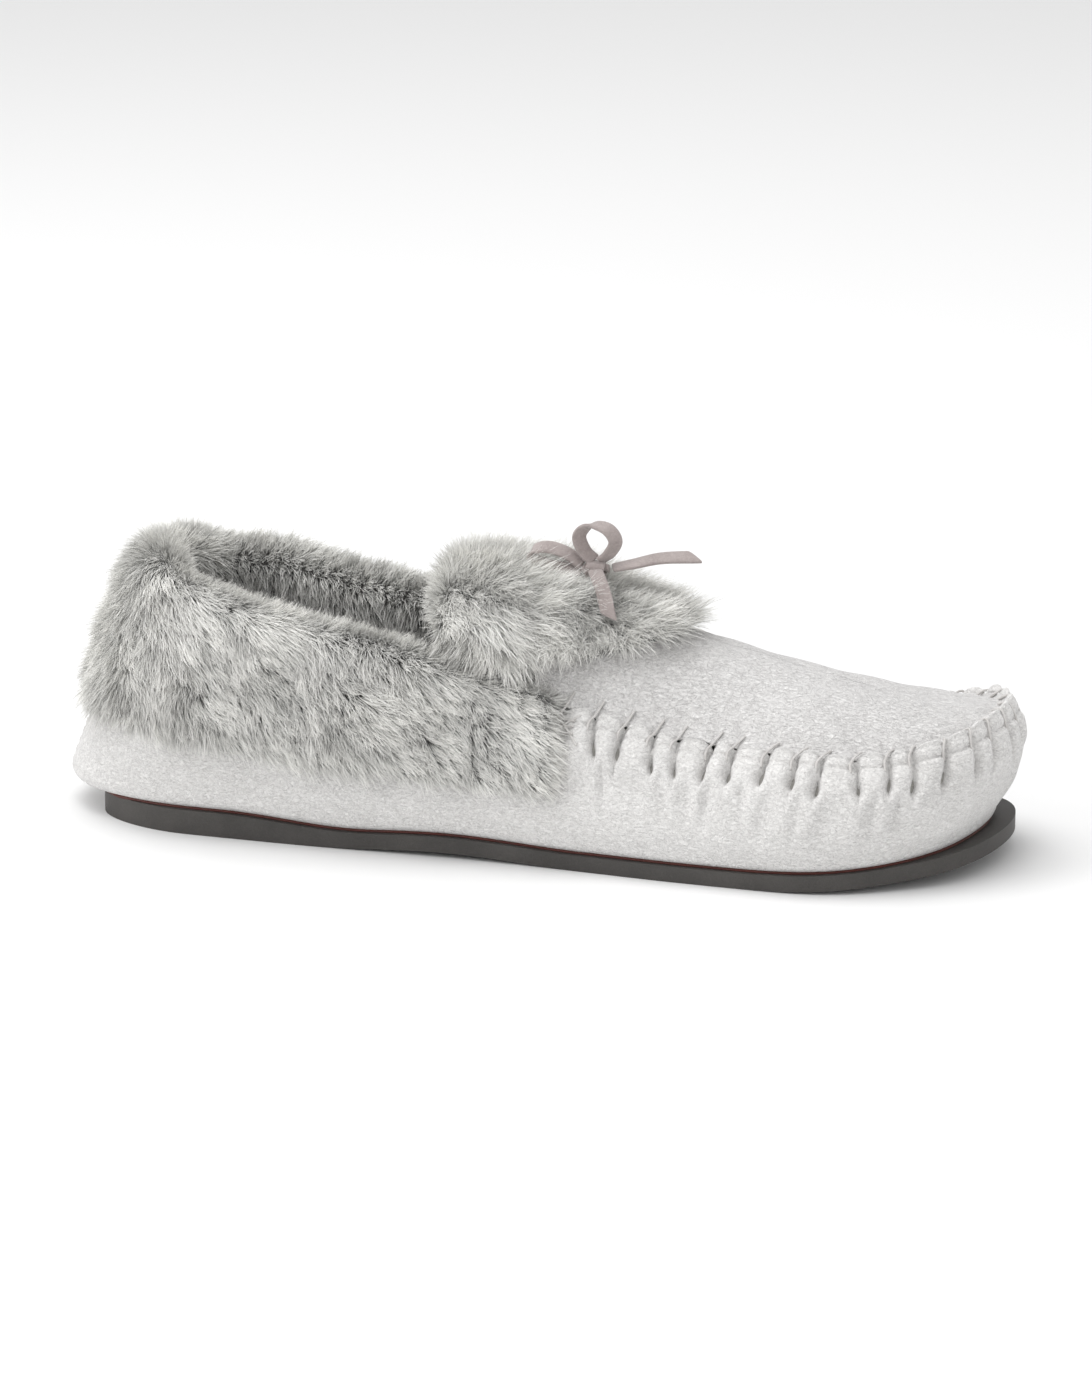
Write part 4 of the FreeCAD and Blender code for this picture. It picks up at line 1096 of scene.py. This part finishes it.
def ribbon(name, offsets, across, body, *nodes, count=48, slant=0.0, widths=(1.0, 1.0), thick=1.0):
    """A flat lace through points off the knot, its width turned from one across direction to the other."""
    points = knot_middle + np.array(offsets, float)
    line = smooth_line(points, count)
    ahead = unit(np.gradient(line, axis=0))
    share = np.linspace(0, 1, count)[:, None]
    side = unit(np.array(across[0]) * (1 - share) + np.array(across[-1]) * share)
    side = unit(side - ahead * np.sum(side * ahead, -1, keepdims=True))
    face = np.cross(side, ahead)
    half_width = lace_width / 2 * (widths[0] + (widths[1] - widths[0]) * share)
    section = [(-1, -0.32), (-0.88, -0.5), (0, -0.53), (0.88, -0.5), (1, -0.32),
               (1, 0.32), (0.88, 0.5), (0, 0.53), (-0.88, 0.5), (-1, 0.32)]
    cut = ease(share, 0.7, 1.0) * slant
    ring = [line + side * half_width * a + face * thick * b + ahead * cut * a for a, b in section]
    ring = np.array(ring + ring[:1])
    faces = grid_faces(len(section) + 1, count).tolist()
    last = count - 1
    faces.append([k * count for k in range(len(section))])
    faces.append([k * count + last for k in reversed(range(len(section)))])
    piece = solid(name, ring, faces, lace_suede)
    mend(piece, closer_than=1e-6, closed=True)
    soften = piece.modifiers.new("soft", "SUBSURF")
    soften.levels = soften.render_levels = 1
    settle(piece)
    stand_in(piece, body, "lace", *nodes)


turned = (0.80, 0.60, 0.1)
low_turned = (0.25, 0.80, 0.55)
ribbon("lace_loop_standing",
       [(-0.4, -0.2, 2.5), (-3.2, -0.1, 5.0), (-4.6, 0.1, 9.0), (-1.6, 0.2, 11.9),
        (2.9, 0.1, 11.2), (5.2, 0, 8.0), (3.6, -0.1, 4.6), (1.0, -0.2, 2.5)],
       (turned, turned), "upper_loop", "bow_loop_upper", count=60)
ribbon("lace_loop_low",
       [(-3.7, 0.2, 1.0), (-7.5, -0.2, 3.9), (-12.5, -0.9, 5.6), (-16.2, -1.2, 4.9),
        (-16.9, -1.6, 2.8), (-13.5, -1.8, 1.1), (-8.5, -1.0, 0.2), (-3.9, -0.2, -0.4)],
       (low_turned, low_turned), "lower_loop", "bow_loop_lower", count=60)
ribbon("lace_tail_near", [(0.6, -4.0, 0.9), (2.6, -7.4, -0.9), (4.8, -10.6, -4.4), (6.6, -13.4, -9.2)],
       ((0.83, 0.55, 0), (0.80, 0.45, 0.4)), "near_tail", "bow_tail_near", count=24, slant=1.5)
ribbon("lace_tail_far", [(4.2, 0.6, 0.6), (9.5, 2.2, 1.6), (16.5, 4.6, 3.0), (25.5, 7.4, 3.2)],
       ((-0.30, 0.95, 0.2), (-0.30, 0.9, 0.75)), "far_tail", "bow_tail_far", count=30, slant=-1.8)
knot_angles = np.linspace(0, 2 * np.pi, 13)
wrap = [(0.3 * math.sin(2 * a), -2.5 * math.cos(a) - 0.3, 1.75 * math.sin(a) + 0.2) for a in knot_angles]
ribbon("lace_knot", wrap, ((1.0, 0.2, 0), (1.0, 0.2, 0)), "tongue", "bow_knot", count=56,
       widths=(1.25, 1.1), thick=1.1)
ribbon("lace_knot_core", [(-3.4, 0.1, 0.9), (-1.2, -0.5, -0.4), (1.4, 0.2, 0.6), (3.6, 0.2, 0.5)],
       ((0.1, 0.6, 0.8), (0.1, 0.8, -0.6)), "tongue", count=22, widths=(0.8, 0.8), thick=1.6)

# ------------------------------------------------------------
# Thread: a waxed grey thread, 0.7 mm thick. It whips the wall and the plug together over the seam's
# ridge, tacks the seam's two ends with a cross, closes the heel seam, and holds the bow's knot.
thread_wax = finish("waxed_thread", (0.52, 0.50, 0.48), (0.70, 0.685, 0.67), 0.12, 0.1, Grain=2600.0,
                    Patch=400.0, Roughness=0.55)
thread_radius = 0.36
stitching, given, result = node_group(
    "stitching", "GeometryNodeTree",
    [("Geometry", "Geometry", None), ("Radius", "Float", 0.0004), ("Material", "Material", None)],
    [("Geometry", "Geometry")])
line = place(stitching, "GeometryNodeMeshToCurve", {0: given["Geometry"]}).outputs[0]
circle = place(stitching, "GeometryNodeCurvePrimitiveCircle",
               {"Resolution": 6, "Radius": given["Radius"]}).outputs[0]
tube = place(stitching, "GeometryNodeCurveToMesh", {0: line, 1: circle, "Fill Caps": True}).outputs[0]
tube = place(stitching, "GeometryNodeSetShadeSmooth", {0: tube}).outputs[0]
tube = place(stitching, "GeometryNodeRealizeInstances", {0: tube}).outputs[0]
tube = place(stitching, "GeometryNodeSetMaterial", {0: tube, "Material": given["Material"]}).outputs[0]
stitching.links.new(tube, result["Geometry"])


def sewn(name, stitches, node):
    """Round threads along short lines of points."""
    rounded = [smooth_line(stitch, 9) for stitch in stitches]
    mesh = bpy.data.meshes.new(name)
    firsts = np.cumsum([0] + [len(line) for line in rounded])
    edges = [(first + k, first + k + 1) for first, line in zip(firsts, rounded) for k in range(len(line) - 1)]
    mesh.from_pydata(to_frame(np.concatenate(rounded)).tolist(), edges, [])
    piece = grown(show(name, mesh, thread_wax), stitching, Radius=thread_radius / 1000, Material=thread_wax)
    stand_in(piece, "slipper", "thread", node)


def on_wall(t, q, lift):
    """A point on the gathered wall, lifted off its face."""
    far = np.linalg.norm(skin(t, 1.0) - skin(t, q))
    stand = gather_relief(np.array([t]), np.array([far]))[0]
    return skin(t, q) + skin_normal(t, q) * (float(stand[0]) + lift)


rim_over = 1.35
landing_in = 3.1
whips = []
for i in range(gathers + 1):
    at = edge_run(seam_start) + gather_pitch * pinch_run(i)
    t0, t1, t2 = np.interp([at - 1.3, at, at + 1.6], run, run_at)
    inward = unit(np.cross((0, 0, 1.0), top_edge(t2 + 1e-3) - top_edge(t2 - 1e-3)))
    landing = top_edge(t2) + inward * landing_in
    landing[2] = vamp_height(landing[0], landing[1]) - 0.1
    rim = top_edge(t1) + (0, 0, rim_over)
    whips.append([on_wall(t0, 0.85, -0.1), on_wall(t0, 0.93, 0.45), rim, landing])
sewn("moccasin_stitches", whips, "moc_stitches")

cross_line = ((1, 0.70), (0.33, 0.80), (-0.33, 0.89), (-1, 0.97))
crosses = []
for t in (seam_start, seam_end):
    for half_span in (-0.09, 0.09):
        crosses.append([on_wall(t + half_span * k, q, 0.25) for k, q in cross_line])
    for q in (0.78, 0.84, 0.90):
        crosses.append([on_wall(t + a, q, 0.45) for a in (-0.06, 0, 0.06)])
sewn("crossed_bar_tacks", crosses, "seam_bar_tacks")

heel_lines = [[layer(t, q + step, -0.25) for step in (0, 0.012, 0.024)]
              for q in np.arange(0.03, 0.52, 0.045) for t in (0.085, stations - 0.085)]
sewn("heel_seam_stitches", heel_lines, "heel_stitches")
dress("bow_tack", thread_wax)

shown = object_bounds()
